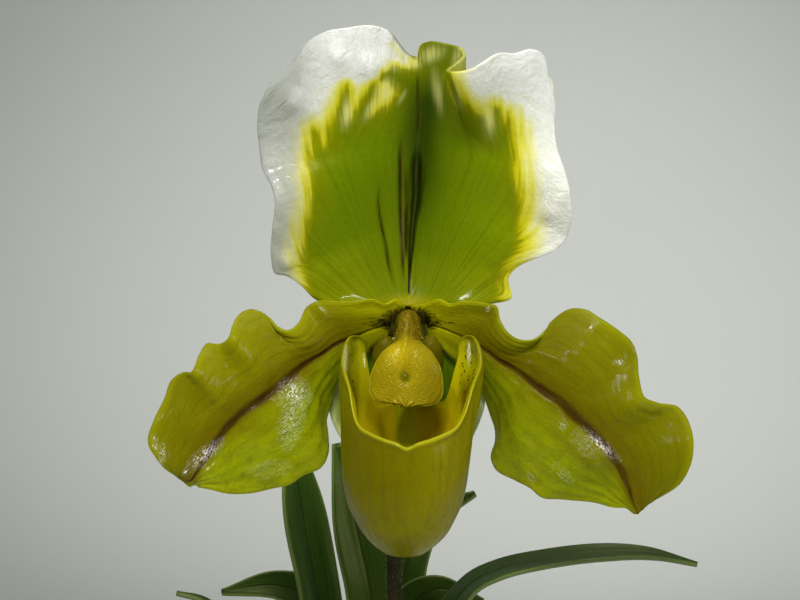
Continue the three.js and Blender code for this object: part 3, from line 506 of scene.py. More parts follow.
def hairs(roots, directions, lengths, thick, curl, droop, seed):
    """Fine tapering hairs as thin closed cones."""
    r = np.random.default_rng(seed)
    n, sides, parts = len(roots), 3, 2
    directions = unit(np.asarray(directions, float))
    sideways = unit(np.cross(directions, r.normal(size=(n, 3))))
    t = np.linspace(0, 1, parts + 1)
    bend = curl * r.uniform(-1, 1, (n, 1))
    lengths = np.asarray(lengths)[:, None, None]
    way = (roots[:, None] + directions[:, None] * t[None, :, None] * lengths
           + sideways[:, None] * (bend * t ** 2)[..., None] * lengths
           + np.array([0, 0, -1.0]) * (droop * t ** 2)[None, :, None] * lengths)
    third = unit(np.cross(directions, sideways))
    angle = turns(sides)
    width = (thick * (1 - 0.85 * t))[None, :, None, None]
    spin = (sideways[:, None, None] * np.cos(angle)[None, None, :, None]
            + third[:, None, None] * np.sin(angle)[None, None, :, None])
    points = (way[:, :, None] + spin * width).reshape(-1, 3)
    k = np.arange(n * (parts + 1) * sides).reshape(n, parts + 1, sides)
    after = np.roll(k, -1, 2)
    body = np.stack([k[:, :-1], after[:, :-1], after[:, 1:], k[:, 1:]], -1).reshape(-1, 4)
    caps = [k[:, 0, ::-1].reshape(-1, sides), k[:, -1].reshape(-1, sides)]
    along = np.tile(np.repeat(t, sides), n)
    return points, [body, *caps], along


def to_lines(p, a, b):
    """Distances from points to the lines from a to b, and how far along each the nearest place is."""
    t = np.clip(np.sum((p - a) * (b - a), -1) / np.sum((b - a) ** 2, -1), 0, 1)
    return np.linalg.norm(p - (a + t[..., None] * (b - a)), axis=-1), t


def polygon_distance(x, z, outline):
    """Signed distance to a closed outline, negative inside."""
    p = np.stack([x, z], -1)[:, None]
    a = vec(outline)[None]
    b = np.roll(a, -1, 1)
    distance = to_lines(p, a, b)[0].min(1)
    cuts = (a[..., 1] > p[..., 1]) != (b[..., 1] > p[..., 1])
    run = np.where(a[..., 1] == b[..., 1], 1, b[..., 1] - a[..., 1])
    left = p[..., 0] < (b[..., 0] - a[..., 0]) * (p[..., 1] - a[..., 1]) / run + a[..., 0]
    return np.where((cuts & left).sum(1) % 2 == 1, -distance, distance)


def line_mark(x, z, line, width, ends=0.25):
    """1 along an open line, falling off to its sides and towards its ends."""
    line = vec(line)
    distance, t = to_lines(np.stack([x, z], -1)[:, None], line[None, :-1], line[None, 1:])
    nearest = distance.argmin(1)
    rows = np.arange(len(x))
    place = (nearest + t[rows, nearest]) / (len(line) - 1)
    taper = fade(place, 0, ends) * fade(1 - place, 0, ends)
    return np.exp(-((distance[rows, nearest] / width) ** 2)) * taper


# ---------------------------------------------------------------- materials
def linear(rgb):
    c = np.array(rgb, float) / 255
    return tuple(np.where(c <= 0.04045, c / 12.92, ((c + 0.055) / 1.055) ** 2.4)) + (1.0,)


class Value:
    """A node's output; what is reckoned with it becomes nodes too."""

    def __init__(self, skin, socket):
        self.skin, self.socket = skin, socket

    def __add__(self, other):
        return self.skin.math("ADD", self, other)

    def __sub__(self, other):
        return self.skin.math("SUBTRACT", self, other)

    def __rsub__(self, other):
        return self.skin.math("SUBTRACT", other, self)

    def __mul__(self, other):
        return self.skin.math("MULTIPLY", self, other)

    def __truediv__(self, other):
        return self.skin.math("DIVIDE", self, other)

    def __pow__(self, other):
        return self.skin.math("POWER", self, other)

    def __abs__(self):
        return self.skin.math("ABSOLUTE", self)


YELLOW_SHINE = (1.0, 0.86, 0.12, 1.0)
WHITE_SHINE = (1.0, 1.0, 1.0, 1.0)


class Skin:
    """A node material around one Principled shader; `colour` is what has been painted so far."""

    def __init__(self, name, **values):
        self.material = bpy.data.materials.new(name)
        self.material.use_nodes = True
        self.tree = self.material.node_tree
        self.tree.nodes.clear()
        self.shader = self.node("BsdfPrincipled")
        self.tree.links.new(self.shader.outputs[0], self.node("OutputMaterial").inputs[0])
        self.set("Specular Tint", YELLOW_SHINE)
        for key, value in values.items():
            self.set(key.replace("_", " "), value)

    def node(self, kind, inputs=(), **settings):
        """A new node, its own settings and the values or outputs that go into it."""
        node = self.tree.nodes.new("ShaderNode" + kind)
        for key, value in settings.items():
            setattr(node, key, value)
        for key, value in dict(inputs).items():
            self.put(node.inputs[key], value)
        return node

    def put(self, socket, value):
        if isinstance(value, Value):
            self.tree.links.new(value.socket, socket)
        else:
            socket.default_value = value

    def set(self, key, value):
        self.put(self.shader.inputs[key], value)

    def field(self, name, output="Fac"):
        """A value kept at the mesh's points."""
        return Value(self, self.node("Attribute", attribute_name=name).outputs[output])

    def place(self, name):
        return self.field(name, "Vector")

    def world(self):
        return Value(self, self.node("TexCoord").outputs["Object"])

    def scaled(self, vector, factors, offset=(0, 0, 0)):
        node = self.node("VectorMath", enumerate((vector, factors, offset)), operation="MULTIPLY_ADD")
        return Value(self, node.outputs[0])

    def math(self, operation, *values, clamp=False):
        node = self.node("Math", enumerate(values), operation=operation, use_clamp=clamp)
        return Value(self, node.outputs[0])

    def remap(self, value, low, high, to_low=0.0, to_high=1.0, kind="LINEAR"):
        node = self.node("MapRange", enumerate((value, low, high, to_low, to_high)), interpolation_type=kind)
        return Value(self, node.outputs[0])

    def ease(self, value, low, high, to_low, to_high):
        return self.remap(value, low, high, to_low, to_high, "SMOOTHSTEP")

    def ramp(self, value, stops):
        """Colour by value; stops are (place, sRGB), with places in order."""
        low, high = stops[0][0], stops[-1][0]
        node = self.node("ValToRGB", {0: self.remap(value, low, high)})
        marks = node.color_ramp.elements
        while len(marks) < len(stops):
            marks.new(0.5)
        for mark, (place, rgb) in zip(marks, stops):
            mark.position = (place - low) / (high - low)
        for mark, (place, rgb) in zip(marks, stops):
            mark.color = linear(rgb)
        return Value(self, node.outputs[0])

    def mix(self, factor, a, b, blend="MIX"):
        a, b = (linear(c) if isinstance(c, tuple) and len(c) == 3 else c for c in (a, b))
        node = self.node("Mix", {0: factor, 6: a, 7: b}, data_type="RGBA", blend_type=blend)
        return Value(self, node.outputs[2])

    def paint(self, share, rgb, blend="MIX"):
        self.colour = self.mix(share, self.colour, rgb, blend)

    def noise(self, vector, factors, detail=2, rough=0.5, offset=(0, 0, 0), distort=0, output=0):
        """Noise over a vector, whose parts are scaled by the factors."""
        node = self.node("TexNoise", {
            "Vector": self.scaled(vector, factors, offset), "Scale": 1, "Detail": detail,
            "Roughness": rough, "Distortion": distort})
        return Value(self, node.outputs[output])

    def cells(self, vector, factors, feature="DISTANCE_TO_EDGE", offset=(0, 0, 0)):
        places = {"Vector": self.scaled(vector, factors, offset), "Scale": 1}
        return Value(self, self.node("TexVoronoi", places, feature=feature).outputs[0])

    def relief(self, *layers, target="Normal"):
        """Bumps laid on each other: (height, strength, distance in mm)."""
        last = None
        for height, strength, distance in layers:
            bump_node = self.node("Bump", {"Height": height, "Strength": strength, "Distance": distance * MM})
            if last is not None:
                self.put(bump_node.inputs["Normal"], last)
            last = Value(self, bump_node.outputs[0])
        self.set(target, last)

    def catch_light(self, share, towards, shake, grain, factors):
        """Turns the coat's normal by share towards a direction, shaken by a grain."""
        facing = Value(self, self.node("NewGeometry").outputs["Normal"])
        turned = self.node("Mix", {0: share, 4: facing, 5: towards}, data_type="VECTOR")
        colour = self.noise(grain, factors, 3, output="Color")
        shaken = self.scaled(self.scaled(colour, (2 * shake,) * 3, (-shake,) * 3), share,
                             Value(self, turned.outputs[1]))
        node = self.node("VectorMath", {0: shaken}, operation="NORMALIZE")
        self.set("Coat Normal", Value(self, node.outputs[0]))

    def back(self):
        """1 on a blade's back."""
        return 1.0 - self.field("face")

    def done(self):
        self.set("Base Color", self.colour)
        return self.material


def sheen_at(points, patches):
    """Where the light catches the skin: (x, z, half length, half width, lean from upright, strength)."""
    share = np.zeros(len(points))
    for x, z, tall, wide, lean, strength in patches:
        right, up = points[:, 0] - x, points[:, 2] - z
        c, s = np.cos(np.radians(lean)), np.sin(np.radians(lean))
        along, across = right * s + up * c, right * c - up * s
        share = np.maximum(share, strength * np.exp(-(along / tall) ** 2 - (across / wide) ** 2))
    return share


def swells_at(points, swells):
    """Soft mounds on a petal and the share of gloss they carry: (x, z, height, width, gloss)."""
    height, gloss = np.zeros(len(points)), np.zeros(len(points))
    for x, z, tall, wide, shine in swells:
        aside = (points[:, 0] - x) ** 2
        height += tall * np.exp(-(aside + (points[:, 2] - z) ** 2) / wide ** 2)
        above = np.exp(-(aside + (points[:, 2] - z - 0.6 * wide) ** 2) / (1.1 * wide) ** 2)
        gloss = np.maximum(gloss, shine * above)
    return height, gloss


# ---------------------------------------------------------------- upper sepal
# The green field's outline, the dark groove (height, middle, half width), the maroon marks (line, half
# width), the pale windows (x, z, half width, half height, lean, strength) and the mounds, in mm.
FIELD = [
    [-16.5, 285], [-18.5, 292], [-19.5, 296.4], [-19.7, 300.1], [-19.3, 303.1], [-18.3, 307.1],
    [-17.7, 311.2], [-17.5, 316.2], [-17.7, 319.2], [-17.3, 321.6], [-16.9, 323.9], [-16.5, 322.6],
    [-15.7, 320.8], [-14.7, 321.6], [-14.1, 324.1], [-13.1, 326.7], [-12.3, 329.7], [-11.5, 332.3],
    [-10.9, 333.7], [-10.3, 332.1], [-10.5, 329.5], [-10.3, 327.1], [-9.5, 326.7], [-8.7, 328.3],
    [-7.5, 330.5], [-6.2, 332.7], [-5.2, 333.9], [-5.2, 331.9], [-6, 329.5], [-6, 327.5], [-4.8, 327.5],
    [-3.2, 328.7], [-1.8, 330.1], [-0.6, 331.7], [-0.8, 333.1], [-2.4, 334.3], [-3.8, 334.9], [-3.4, 335.8],
    [-2.4, 336.4], [-1.4, 337.2], [-0.6, 337.4], [0.4, 336.9], [2, 336.5], [3.6, 337.2], [4.2, 339],
    [4.4, 341], [4.8, 342.8], [14.1, 342.8], [13.3, 340], [12.1, 337.6], [10.5, 336.7], [9.5, 335.3],
    [10.1, 333.1], [11.5, 330.9], [13.1, 328.7], [14.9, 326.9], [16.7, 326.3], [17.5, 325.1], [18.3, 325.9],
    [18.9, 328.5], [19.7, 328.7], [20.2, 326.7], [20.8, 325.3], [21.6, 327.7], [22.2, 325.9], [22.4, 322.6],
    [22.6, 319.8], [22.6, 317], [23.2, 313.8], [23.8, 310.8], [24, 307.5], [23.8, 304.5], [24, 301.5],
    [22.8, 299.3], [21.4, 297.3], [20.4, 295.4], [19.9, 292.4], [19.5, 289], [19.3, 285]]
GROOVE = [
    [292, 1.8, 0.25], [296, 2, 0.45], [300.1, 2.2, 0.7], [304.1, 2.5, 0.9], [310.1, 3.2, 1.4],
    [314.2, 3.4, 1.5], [318.2, 3.4, 1.4], [322.2, 3.6, 1.3], [326.3, 4.2, 1.15], [330.3, 4.8, 1],
    [334.3, 5.2, 0.8], [338.4, 5.6, 0.5]]
MAROON = [
    ([[-4.4, 315.4], [-4.6, 310.1], [-4.2, 307.1], [-3.6, 304.1], [-2.8, 300.1], [-2.4, 297.1],
      [-0.9, 291.2]], 0.3),
    ([[0, 324.9], [-0.2, 319.2], [-0.2, 310.1], [0, 304.1], [0.4, 297.7], [0.8, 292]], 0.4),
    ([[1, 318.6], [1.2, 310.1], [1, 303.1], [1.2, 296.7]], 0.45),
    ([[3.7, 337], [3.6, 330], [3.7, 322]], 0.22)]
PALE = [(-3.2, 332.5, 1.6, 2.2, 0.3, 1.0), (-5.8, 329.3, 1.0, 2.4, 0.5, 0.6),
        (-10.9, 327.9, 1.0, 2.6, 0.1, 0.9), (7.7, 332.5, 0.9, 3.9, -0.15, 0.5),
        (11.7, 330.7, 0.5, 2.2, -0.3, 0.4), (0.4, 331.3, 0.5, 1.5, 0.5, 0.35),
        (17.5, 326.9, 1.2, 3.2, -0.2, 0.9), (6.6, 339.6, 2.2, 1.6, 0.5, 0.8),
        (11.7, 338.6, 1.0, 2.2, 0.2, 0.8), (2.2, 337.8, 2.2, 0.9, -0.3, 0.9),
        (-2.0, 337.6, 1.4, 1.2, -0.4, 0.8)]
SEPAL_SWELLS = [(-6.2, 337.4, 1.0, 2.4, 1.0), (-12.6, 339.3, 0.8, 2.2, 0.8), (-21.8, 330.4, 1.2, 2.8, 1.0),
                (-23.0, 297.6, 0.9, 2.0, 0.8), (31.0, 308.4, 1.2, 2.6, 1.0), (-10.0, 287.6, 2.0, 2.0, 1.0),
                (14.0, 287.6, 2.0, 2.3, 1.0)]


def dorsal_lay(u, v, points):
    """Places across the blade, and the veins' fan: it spreads from the foot and turns along the blade
    higher up."""
    reach, z = np.abs(u), points[:, 2]
    across = np.sign(u) * (reach - 0.42 * (1 - np.exp(-v / 0.4)) * reach ** 2.2) * 28
    fan = np.arctan2(points[:, 0] - 1.8, np.maximum(z - 281, 1)) * 30
    return across, fan + (across * 1.5 - fan) * fade(z, 318, 334)


def dorsal_fields(u, v, points):
    x, z = points[:, 0], points[:, 2]
    distance = polygon_distance(x, z, FIELD)
    band = np.where(x < 0, 0.85, 0.9) * (1 + 1.1 * fade(z, 324, 333) + 2.2 * fade(z, 333, 336) * (x < 1.6))
    distance = np.where(distance > 0, distance * band, distance)
    # pale windows in the green; a pale fold along the notch's edge
    pale = [1.1 * share * np.exp(-(((x - px - lean * (z - pz)) / wide) ** 2 + ((z - pz) / tall) ** 2) ** 1.3)
            for px, pz, wide, tall, lean, share in PALE]
    fold = line_mark(x, z, [[-2.6, 342.4], [-1.2, 341.2], [0.4, 339.4], [2.2, 338.2], [4.2, 338.6]],
                     0.9, 0.12)
    edge = line_mark(x, z, [[-2.6, 344.9], [-1.4, 343.6], [0, 341.6], [1.6, 340], [3, 339.2], [4.4, 339.9]],
                     0.4, 0.1)
    across, fan = dorsal_lay(u, v, points)
    marks = np.max([line_mark(x, z, line, width) for line, width in MAROON], axis=0)
    middle, half = (table([[row[0], row[k]] for row in GROOVE])(z) for k in (1, 2))
    gloss = swells_at(points, SEPAL_SWELLS)[1]
    return {
        "lay": np.stack([across, v * 52, np.zeros_like(u)], -1),
        "distance": distance,
        "fan": np.stack([fan, v * 52, np.zeros_like(u)], -1),
        "groove": np.abs(x - middle) / half + 2.6 * fade(z, 316.5, 328) + 3 * (1 - fade(z, 289.4, 291.6)),
        "foot": (1 - fade(z, 289.6, 291.8)) * np.exp(-((x - MIDDLE_X) / 5) ** 2),
        "midline": np.exp(-((x - middle) / 0.2) ** 2) * fade(z, 297, 302) * (1 - fade(z, 322, 332)),
        "gloss": gloss,
        "tilt": gloss * fade(z, 290, 294),
        "fall": -z,
        "shade": (np.exp(-(((x - middle - 1.0 + 0.3 * fade(z, 314, 328)) / (2.8 + 0.07 * (z - 300))) ** 2))
                  * fade(z, 296, 322) * (1 - 0.95 * fade(z, 329.5, 338))),
        "height": v,
        "place_x": x,
        "marks": marks,
        "pale": np.max([*pale, fold], 0),
        "edge": edge}


def dorsal_relief(u, v, points):
    reach, fan = np.abs(u), dorsal_lay(u, v, points)[1]
    veins = 0.05 * np.sin(fan * 1.9 + np.sin(v * 5)) * (1 - bump(u, 0, 0.08)) * fade(v, 0.1, 0.3)
    white = fade(reach, 0.62, 0.95) + fade(v, 0.8, 1)
    waves = 0.22 * ripple(u * 9, v * 11, 5, 7, 0.8, 2.2) * np.clip(white, 0, 1)
    return veins + waves * fade(v, 0.02, 0.12) + swells_at(points, SEPAL_SWELLS)[0]


def dorsal_skin():
    s = Skin("upper_sepal")
    lay = s.place("lay")
    height, x = s.field("height"), s.field("place_x")
    long_streaks = s.noise(lay, (0.62, 0.035, 1), 3, 0.6)
    fine_streaks = s.noise(lay, (2.2, 0.10, 1), 3, 0.6, (7, 0, 3))
    patches = s.noise(lay, (0.35, 0.12, 1), 2, 0.5, (3, 9, 5))
    shift = (long_streaks - 0.5) * 3.6 + (fine_streaks - 0.5) * 4.4
    outside = s.ease(s.field("distance"), -1.5, 1.0, 0.3, 1)
    reach = s.field("distance") + shift * outside
    s.colour = s.ramp(reach, [(-14, (88, 108, 1)), (-5, (96, 117, 1)), (-1.0, (108, 121, 1)),
                              (0.1, (136, 138, 4)), (1.0, (188, 182, 18)), (2.4, (212, 207, 76)),
                              (4.2, (222, 221, 162)), (6, (226, 227, 216)), (14, (232, 233, 231))])
    # painted shade: the left margin's white is painted greyer
    s.paint(s.ease(x, -13, -24, 0, 0.9) * s.ease(reach, 0, 4, 0, 1), (162, 165, 158))
    inner = s.ease(reach, -2.5, 0.8, 1, 0)
    # yellower low down and towards the sides, darker beside the groove and towards the apex
    low = s.ease(height, 0.04, 0.42, 0.85, 0) * s.ease(abs(x - 2.0), 3, 16, 0.15, 1)
    s.paint(low * inner, (148, 150, 3))
    s.paint(s.ease(x, 6, 22, 0, 0.35) * inner, (126, 142, 3))
    s.paint(s.field("shade") * inner * 0.92, (26, 48, 0))
    # veins: fine dark lines, closest together at the base
    lines = s.ease(s.noise(s.place("fan"), (1.5, 0.04, 1), 3, 0.55, (1, 2, 8)), 0.5, 0.66, 0, 1)
    lines = lines * s.remap(height, 0.0, 0.75, 0.9, 0.3)
    s.paint(lines * inner * 0.5, (66, 84, 2))
    mottle = s.noise(lay, (1.5, 1.2, 1), 3, 0.6, (4, 4, 1))
    s.paint(s.remap(mottle, 0.35, 0.7, 0, 0.2), (170, 176, 60), "MULTIPLY")
    # pale windows and the pale fold, with streaks left in them
    pale = s.field("pale") * s.ease(fine_streaks, 0.3, 0.6, 0.25, 1.0)
    s.paint(s.math("MULTIPLY", pale, 0.9, clamp=True), (208, 206, 120))
    # maroon marks and the near-black groove with its thin paler midline
    marks = s.math("MULTIPLY", s.field("marks"), s.remap(patches, 0.3, 0.55, 0.6, 1.15), clamp=True)
    s.paint(marks, (36, 20, 1))
    rough_edge = (fine_streaks - 0.5) * 1.3
    groove = s.ease(s.field("groove") + rough_edge, 0.5, 1.55, 1, 0)
    s.paint(groove * s.remap(height, 0.02, 0.9, 1.0, 0.75), (6, 8, 0))
    threads = s.ease(s.noise(lay, (5.0, 0.05, 1), 2, 0.5, (3, 3, 3)), 0.5, 0.68, 0, 0.7)
    s.paint(threads * groove, (26, 32, 4))
    s.paint(s.field("midline") * 0.75, (66, 72, 26))
    s.paint(s.field("edge") * 0.9, (70, 84, 6))
    s.paint(s.field("foot") * 0.9, (150, 142, 6))
    s.paint(s.back() * 0.35, (196, 206, 120))
    white = s.ease(reach, 3, 7, 0, 1)
    grain = s.noise(lay, (2.0, 1.6, 1), 6, 0.7, (2, 1, 0))
    dull = s.math("MAXIMUM", groove, s.ease(height, 0.03, 0.4, 0.55, 0))
    s.set("Roughness", s.remap(grain, 0.3, 0.7, 0.32, 0.48) + dull * 0.35)
    s.set("Specular IOR Level", s.remap(white, 0, 1, 0.13, 0.32) + groove * -0.1)
    s.set("Coat Weight", s.math("ADD", s.remap(white, 0, 1, 0.02, 0.22), s.field("gloss") * 0.9, clamp=True))
    s.set("Coat Roughness", s.remap(white, 0, 1, 0.13, 0.08))
    s.set("Specular Tint", s.mix(white, YELLOW_SHINE, WHITE_SHINE))
    fine = s.cells(lay, (3.2, 2.6, 1), "F1")
    wrinkles = s.noise(lay, (0.55, 0.22, 1), 4, 0.65, (5, 2, 0), distort=0.5)
    s.relief((lines, 0.2, 0.2), (fine, s.remap(white, 0, 1, 0.16, 0.5), 0.12),
             (wrinkles, s.remap(white, 0, 1, 0.12, 0.7), 1.2))
    # the shine on the mounds breaks up into sparks
    sparks = s.noise(lay, (0.9, 0.9, 1), 3, 0.6, (4, 4, 4))
    tilt = s.field("tilt")
    s.relief((s.field("fall"), tilt, 0.62), (sparks, tilt, 1.1), (grain, tilt, 0.3), target="Coat Normal")
    return s.done()


dorsal_across = np.concatenate([np.linspace(-1, -0.16, 62, endpoint=False), np.linspace(-0.16, 0.16, 29),
                                np.linspace(0.16, 1, 72)[1:]])
blade("dorsal_sepal_fine", dorsal_surface, dorsal_across, np.linspace(0, 1, 150), TEPAL,
      dorsal_skin(), dorsal_fields, dorsal_relief, rounding=0.8, replaces=["dorsal_sepal"])


# ---------------------------------------------------------------- petals
# Mounds (x, z, height, width, gloss) and sheens (x, z, half length, half width, lean, strength) by
# side: 1 left, 2 right.
SWELLS = {
    1: [(-20.8, 269.4, 0.5, 3.6, 0.5), (-38.8, 255.8, 1.7, 3.2, 1.0), (-47.9, 258.8, 0.8, 2.2, 0.6),
        (-15.0, 287.2, 0.6, 1.6, 0.8), (-27.5, 258.5, 0.5, 4.0, 0.25)],
    2: [(39.4, 259.2, 1.5, 3.4, 1.0), (32.4, 263.0, 0.6, 3.4, 0.35), (44.8, 275.0, 0.9, 2.2, 0.7),
        (38.5, 284.2, 0.4, 1.4, 0.5), (27.5, 258.0, 0.6, 4.0, 0.2)]}
SHEEN = {
    1: [(-21.4, 271.4, 2.4, 2.6, 20, 0.85), (-21.6, 266.0, 5.2, 2.2, 12, 0.42),
        (-26.0, 256.6, 3.6, 8.4, -8, 0.13), (-38.4, 259.6, 3.4, 1.1, 51, 1.0),
        (-42.3, 256.1, 0.7, 0.5, 51, 1.0), (-47.2, 259.3, 1.5, 0.6, 0, 0.8), (-48.6, 262.4, 0.7, 0.5, 0, 0.7),
        (-15.6, 288.4, 1.2, 0.2, -40, 1.0)],
    2: [(39.6, 261.5, 3.6, 0.9, -49, 1.0), (36.6, 261.6, 3.4, 2.2, -49, 0.26),
        (32.2, 265.2, 0.9, 0.8, 0, 0.3), (32.6, 255.6, 5.4, 1.8, -40, 0.14),
        (26.4, 255.0, 2.4, 1.1, -28, 0.15), (38.3, 284.6, 1.5, 0.2, 52, 1.0), (43.1, 277.6, 0.5, 0.9, 0, 0.8),
        (17.6, 288.5, 0.7, 0.25, 14, 0.8), (23.8, 282.6, 0.5, 0.4, 0, 0.5),
        (46.6, 280.4, 0.8, 0.4, -20, 0.4)]}
# the ways the coat has to face there for the key lamp to show in it
TOWARDS_KEY = {1: (0.024, -0.929, 0.369), 2: (-0.077, -0.927, 0.367), "pouch": (-0.02, -0.935, 0.358)}


def petal_fields(outline, side):
    upper, mid, lower = (Curve(outline[k]) for k in ("upper", "mid", "lower"))
    length = mid.length[-1]

    def fields(u, v, points):
        edge = np.where((u < 0)[:, None], upper.at(v), lower.at(v))
        wide = np.linalg.norm(edge - mid.at(v), axis=1)
        return {
            "lay": np.stack([u * wide, v * length, np.full_like(u, side * 40.0)], -1),
            "mid": u * wide,
            "across": u,
            "fan": u * 8 + 0.35 * ripple(u * 3, v * 7, side, 5, 0.6, 1.6),
            "gloss": swells_at(points, SWELLS.get(side, ()))[1],
            "sheen": sheen_at(points, SHEEN.get(side, ())),
            "height": v}
    return fields


def petal_relief(side):
    seed = 20 + side

    def relief(u, v, points):
        mounds = swells_at(points, SWELLS[side])[0]
        reach = np.abs(u)
        rib = -0.35 * bump(u, 0, 0.045) * fade(1 - v, 0, 0.25)
        veins = 0.06 * np.sin(u * 34 + 2 * np.sin(v * 6)) * fade(reach, 0.06, 0.2)
        veins = veins * (1 - fade(reach, 0.85, 1))
        waves = 0.28 * ripple(u * 5, v * 14, seed, 7, 0.8, 2.2) * fade(reach, 0.25, 0.9)
        dimples = 0.12 * ripple(u * 11, v * 26, seed + 1, 8, 0.8, 2.0) * (1 - 0.4 * reach)
        rest = rib + waves + mounds + (veins + dimples) * fade(v, 0.1, 0.35)
        return rest * fade(v, 0.0, 0.08) * fade(1 - v, 0.0, 0.04)
    return relief


def petal_skin(name, light, side):
    """The petals' skin; light scales its colours, as painted light: the left petal is painted lighter and the
    right one darker.
    """
    def lit(r, g, b):
        return r * light, g * light, b * light

    s = Skin(name, Specular_IOR_Level=0.12)
    lay = s.place("lay")
    mid, height, across = s.field("mid"), s.field("height"), s.field("across")
    cloud = s.noise(lay, (0.14, 0.1, 1), 3, 0.55)
    halves = across + (cloud - 0.5) * 0.9
    s.colour = s.ramp(halves, [(-1.0, lit(130, 130, 1)), (-0.6, lit(114, 112, 0)), (-0.08, lit(104, 98, 0)),
                               (0.14, lit(124, 128, 1)), (0.5, lit(138, 150, 3)), (1.0, lit(154, 162, 8))])
    far = s.ease(height, 0.55, 0.9, 0, 0.6)
    s.paint(far * s.ease(across, -0.9, 0.1, 1, 0), (98, 98, 0))
    spots = s.noise(lay, (0.9, 0.7, 1), 4, 0.6, (3, 1, 0))
    s.paint(s.ease(spots, 0.42, 0.72, 0, 0.35), (108, 102, 2))
    s.paint(s.ease(height, 0.02, 0.22, 0.45, 0), (150, 150, 3))
    # painted light: the petal's foot is painted brighter where the dorsal's mounds shade it
    painted_light_at_foot = s.ease(height, 0.03, 0.2, 0.85, 0) * s.ease(across, -0.2, 0.7, 1, 0.3)
    s.paint(painted_light_at_foot, (196, 190, 8))
    rim = s.ease(s.field("rim"), 0.15, 2.2, 1, 0)
    s.paint(rim * 0.3, (160, 164, 8))
    # veins fanning from the foot, broken here and there, with a faint net between them
    fan = abs(s.math("FRACT", s.field("fan") + 20.0) - 0.5)
    broken = s.ease(s.noise(lay, (0.8, 0.5, 1), 2, 0.6, (2, 6, 0)), 0.36, 0.56, 0.15, 1)
    fan = s.ease(fan, 0.02, 0.13, 1, 0) * broken
    net = s.ease(s.cells(lay, (0.36, 0.14, 1), offset=(2, 0, 0)), 0.0, 0.07, 0.4, 0)
    net = s.math("MAXIMUM", net, fan * 0.9)
    clear = s.ramp(across, [(-1, (120, 120, 120)), (-0.5, (190, 190, 190)), (0.0, (170, 170, 170)),
                            (0.5, (90, 90, 90)), (1, (40, 40, 40))])
    s.paint(net * (clear * 0.62), (72, 66, 0))
    # the dark tuft at the foot
    tuft = s.ease(s.noise(lay, (1.6, 1.6, 1), 3, 0.6, (6, 1, 0)), 0.4, 0.6, 0.35, 1)
    foot = s.ease(height, 0.006, 0.035, 1, 0) * s.ease(abs(across + 0.1), 0.35, 0.9, 1, 0)
    s.paint(tuft * foot * s.ease(across, -0.6, 0.1, 0, 0.9), (34, 18, 2))
    # maroon midrib, wide at the base and thin towards the tip
    wobble = (s.noise(lay, (1.2, 0.25, 1), 3, 0.6, (0, 7, 0)) - 0.5) * 1.1
    from_rib = abs(mid + wobble)
    width = s.ramp(height, [(0, (60, 60, 60)), (0.12, (70, 70, 70)), (0.3, (150, 150, 150)),
                            (0.6, (200, 200, 200)), (0.85, (170, 170, 170)), (0.99, (60, 60, 60))])
    width = width * 1.9
    rib = s.ease(from_rib / s.math("MAXIMUM", width, 0.02), 0.35, 1.5, 1, 0)
    tone = s.noise(lay, (0.6, 0.16, 1), 2, 0.5, (9, 2, 0))
    halo = s.ease(abs(mid + 1.0), 0.6, 4.0, 0.5, 0)
    s.paint(halo * s.remap(height, 0.04, 0.25, 0, 1), (88, 72, 0))
    s.paint(rib * s.remap(tone, 0.3, 0.62, 0.7, 0.95), (56, 28, 4))
    s.paint(s.back() * 0.3, (160, 168, 60))
    grain = s.noise(lay, (3.6, 1.3, 1), 5, 0.7, (1, 6, 0))
    s.set("Roughness", s.remap(grain, 0.3, 0.7, 0.34, 0.5) + rib * 0.25)
    gloss = s.field("gloss") * s.field("face")
    sheen = s.field("sheen") * s.field("face")
    streaks = s.noise(lay, (2.4, 0.7, 1), 4, 0.65, (5, 5, 0))
    broken_sheen = sheen ** 1.2 * s.remap(streaks, 0.38, 0.61, 0.03, 1.15)
    turned = s.ease(sheen, 0.02, 0.12, 0, 1)
    plain_coat = s.math("MULTIPLY_ADD", gloss, 0.3, 0.04) * (1 - turned)
    s.set("Coat Weight", s.math("ADD", plain_coat, broken_sheen, clamp=True))
    s.set("Coat Roughness", s.remap(grain, 0.35, 0.65, 0.1, 0.2))
    s.catch_light(turned, TOWARDS_KEY[side], 0.5, lay, (3.4, 1.0, 1))
    hollows = s.noise(lay, (0.4, 0.3, 1), 3, 0.55, (8, 3, 0))
    s.relief((net, 0.25, 0.2), (grain, 0.9, 0.3), (hollows, 0.12, 0.6))
    return s.done()


petal_along = np.linspace(0, 1, 210)
# painted light: the left petal's colours are scaled up and the right one's down
for node, outline, side, light in (("petal_left", PETAL_LEFT, 1, 1.06),
                                   ("petal_right", PETAL_RIGHT, 2, 0.94)):
    blade(node + "_fine", tepal(outline, PETAL_BOW), np.linspace(-1, 1, 97), petal_along, TEPAL,
          petal_skin(node + "_skin", light, side), petal_fields(outline, side), petal_relief(side),
          replaces=[node])


# ---------------------------------------------------------------- pouch
POUCH_SHEEN = [(-10.5, 278.8, 2.8, 0.26, 0, 0.8), (-7.1, 277.9, 1.4, 0.14, -6, 1.0),
               (13.7, 279.6, 2.0, 0.3, 0, 0.9), (11.2, 278.9, 1.2, 0.16, 8, 1.0),
               (-3.6, 270.2, 0.5, 0.5, 0, 0.6)]


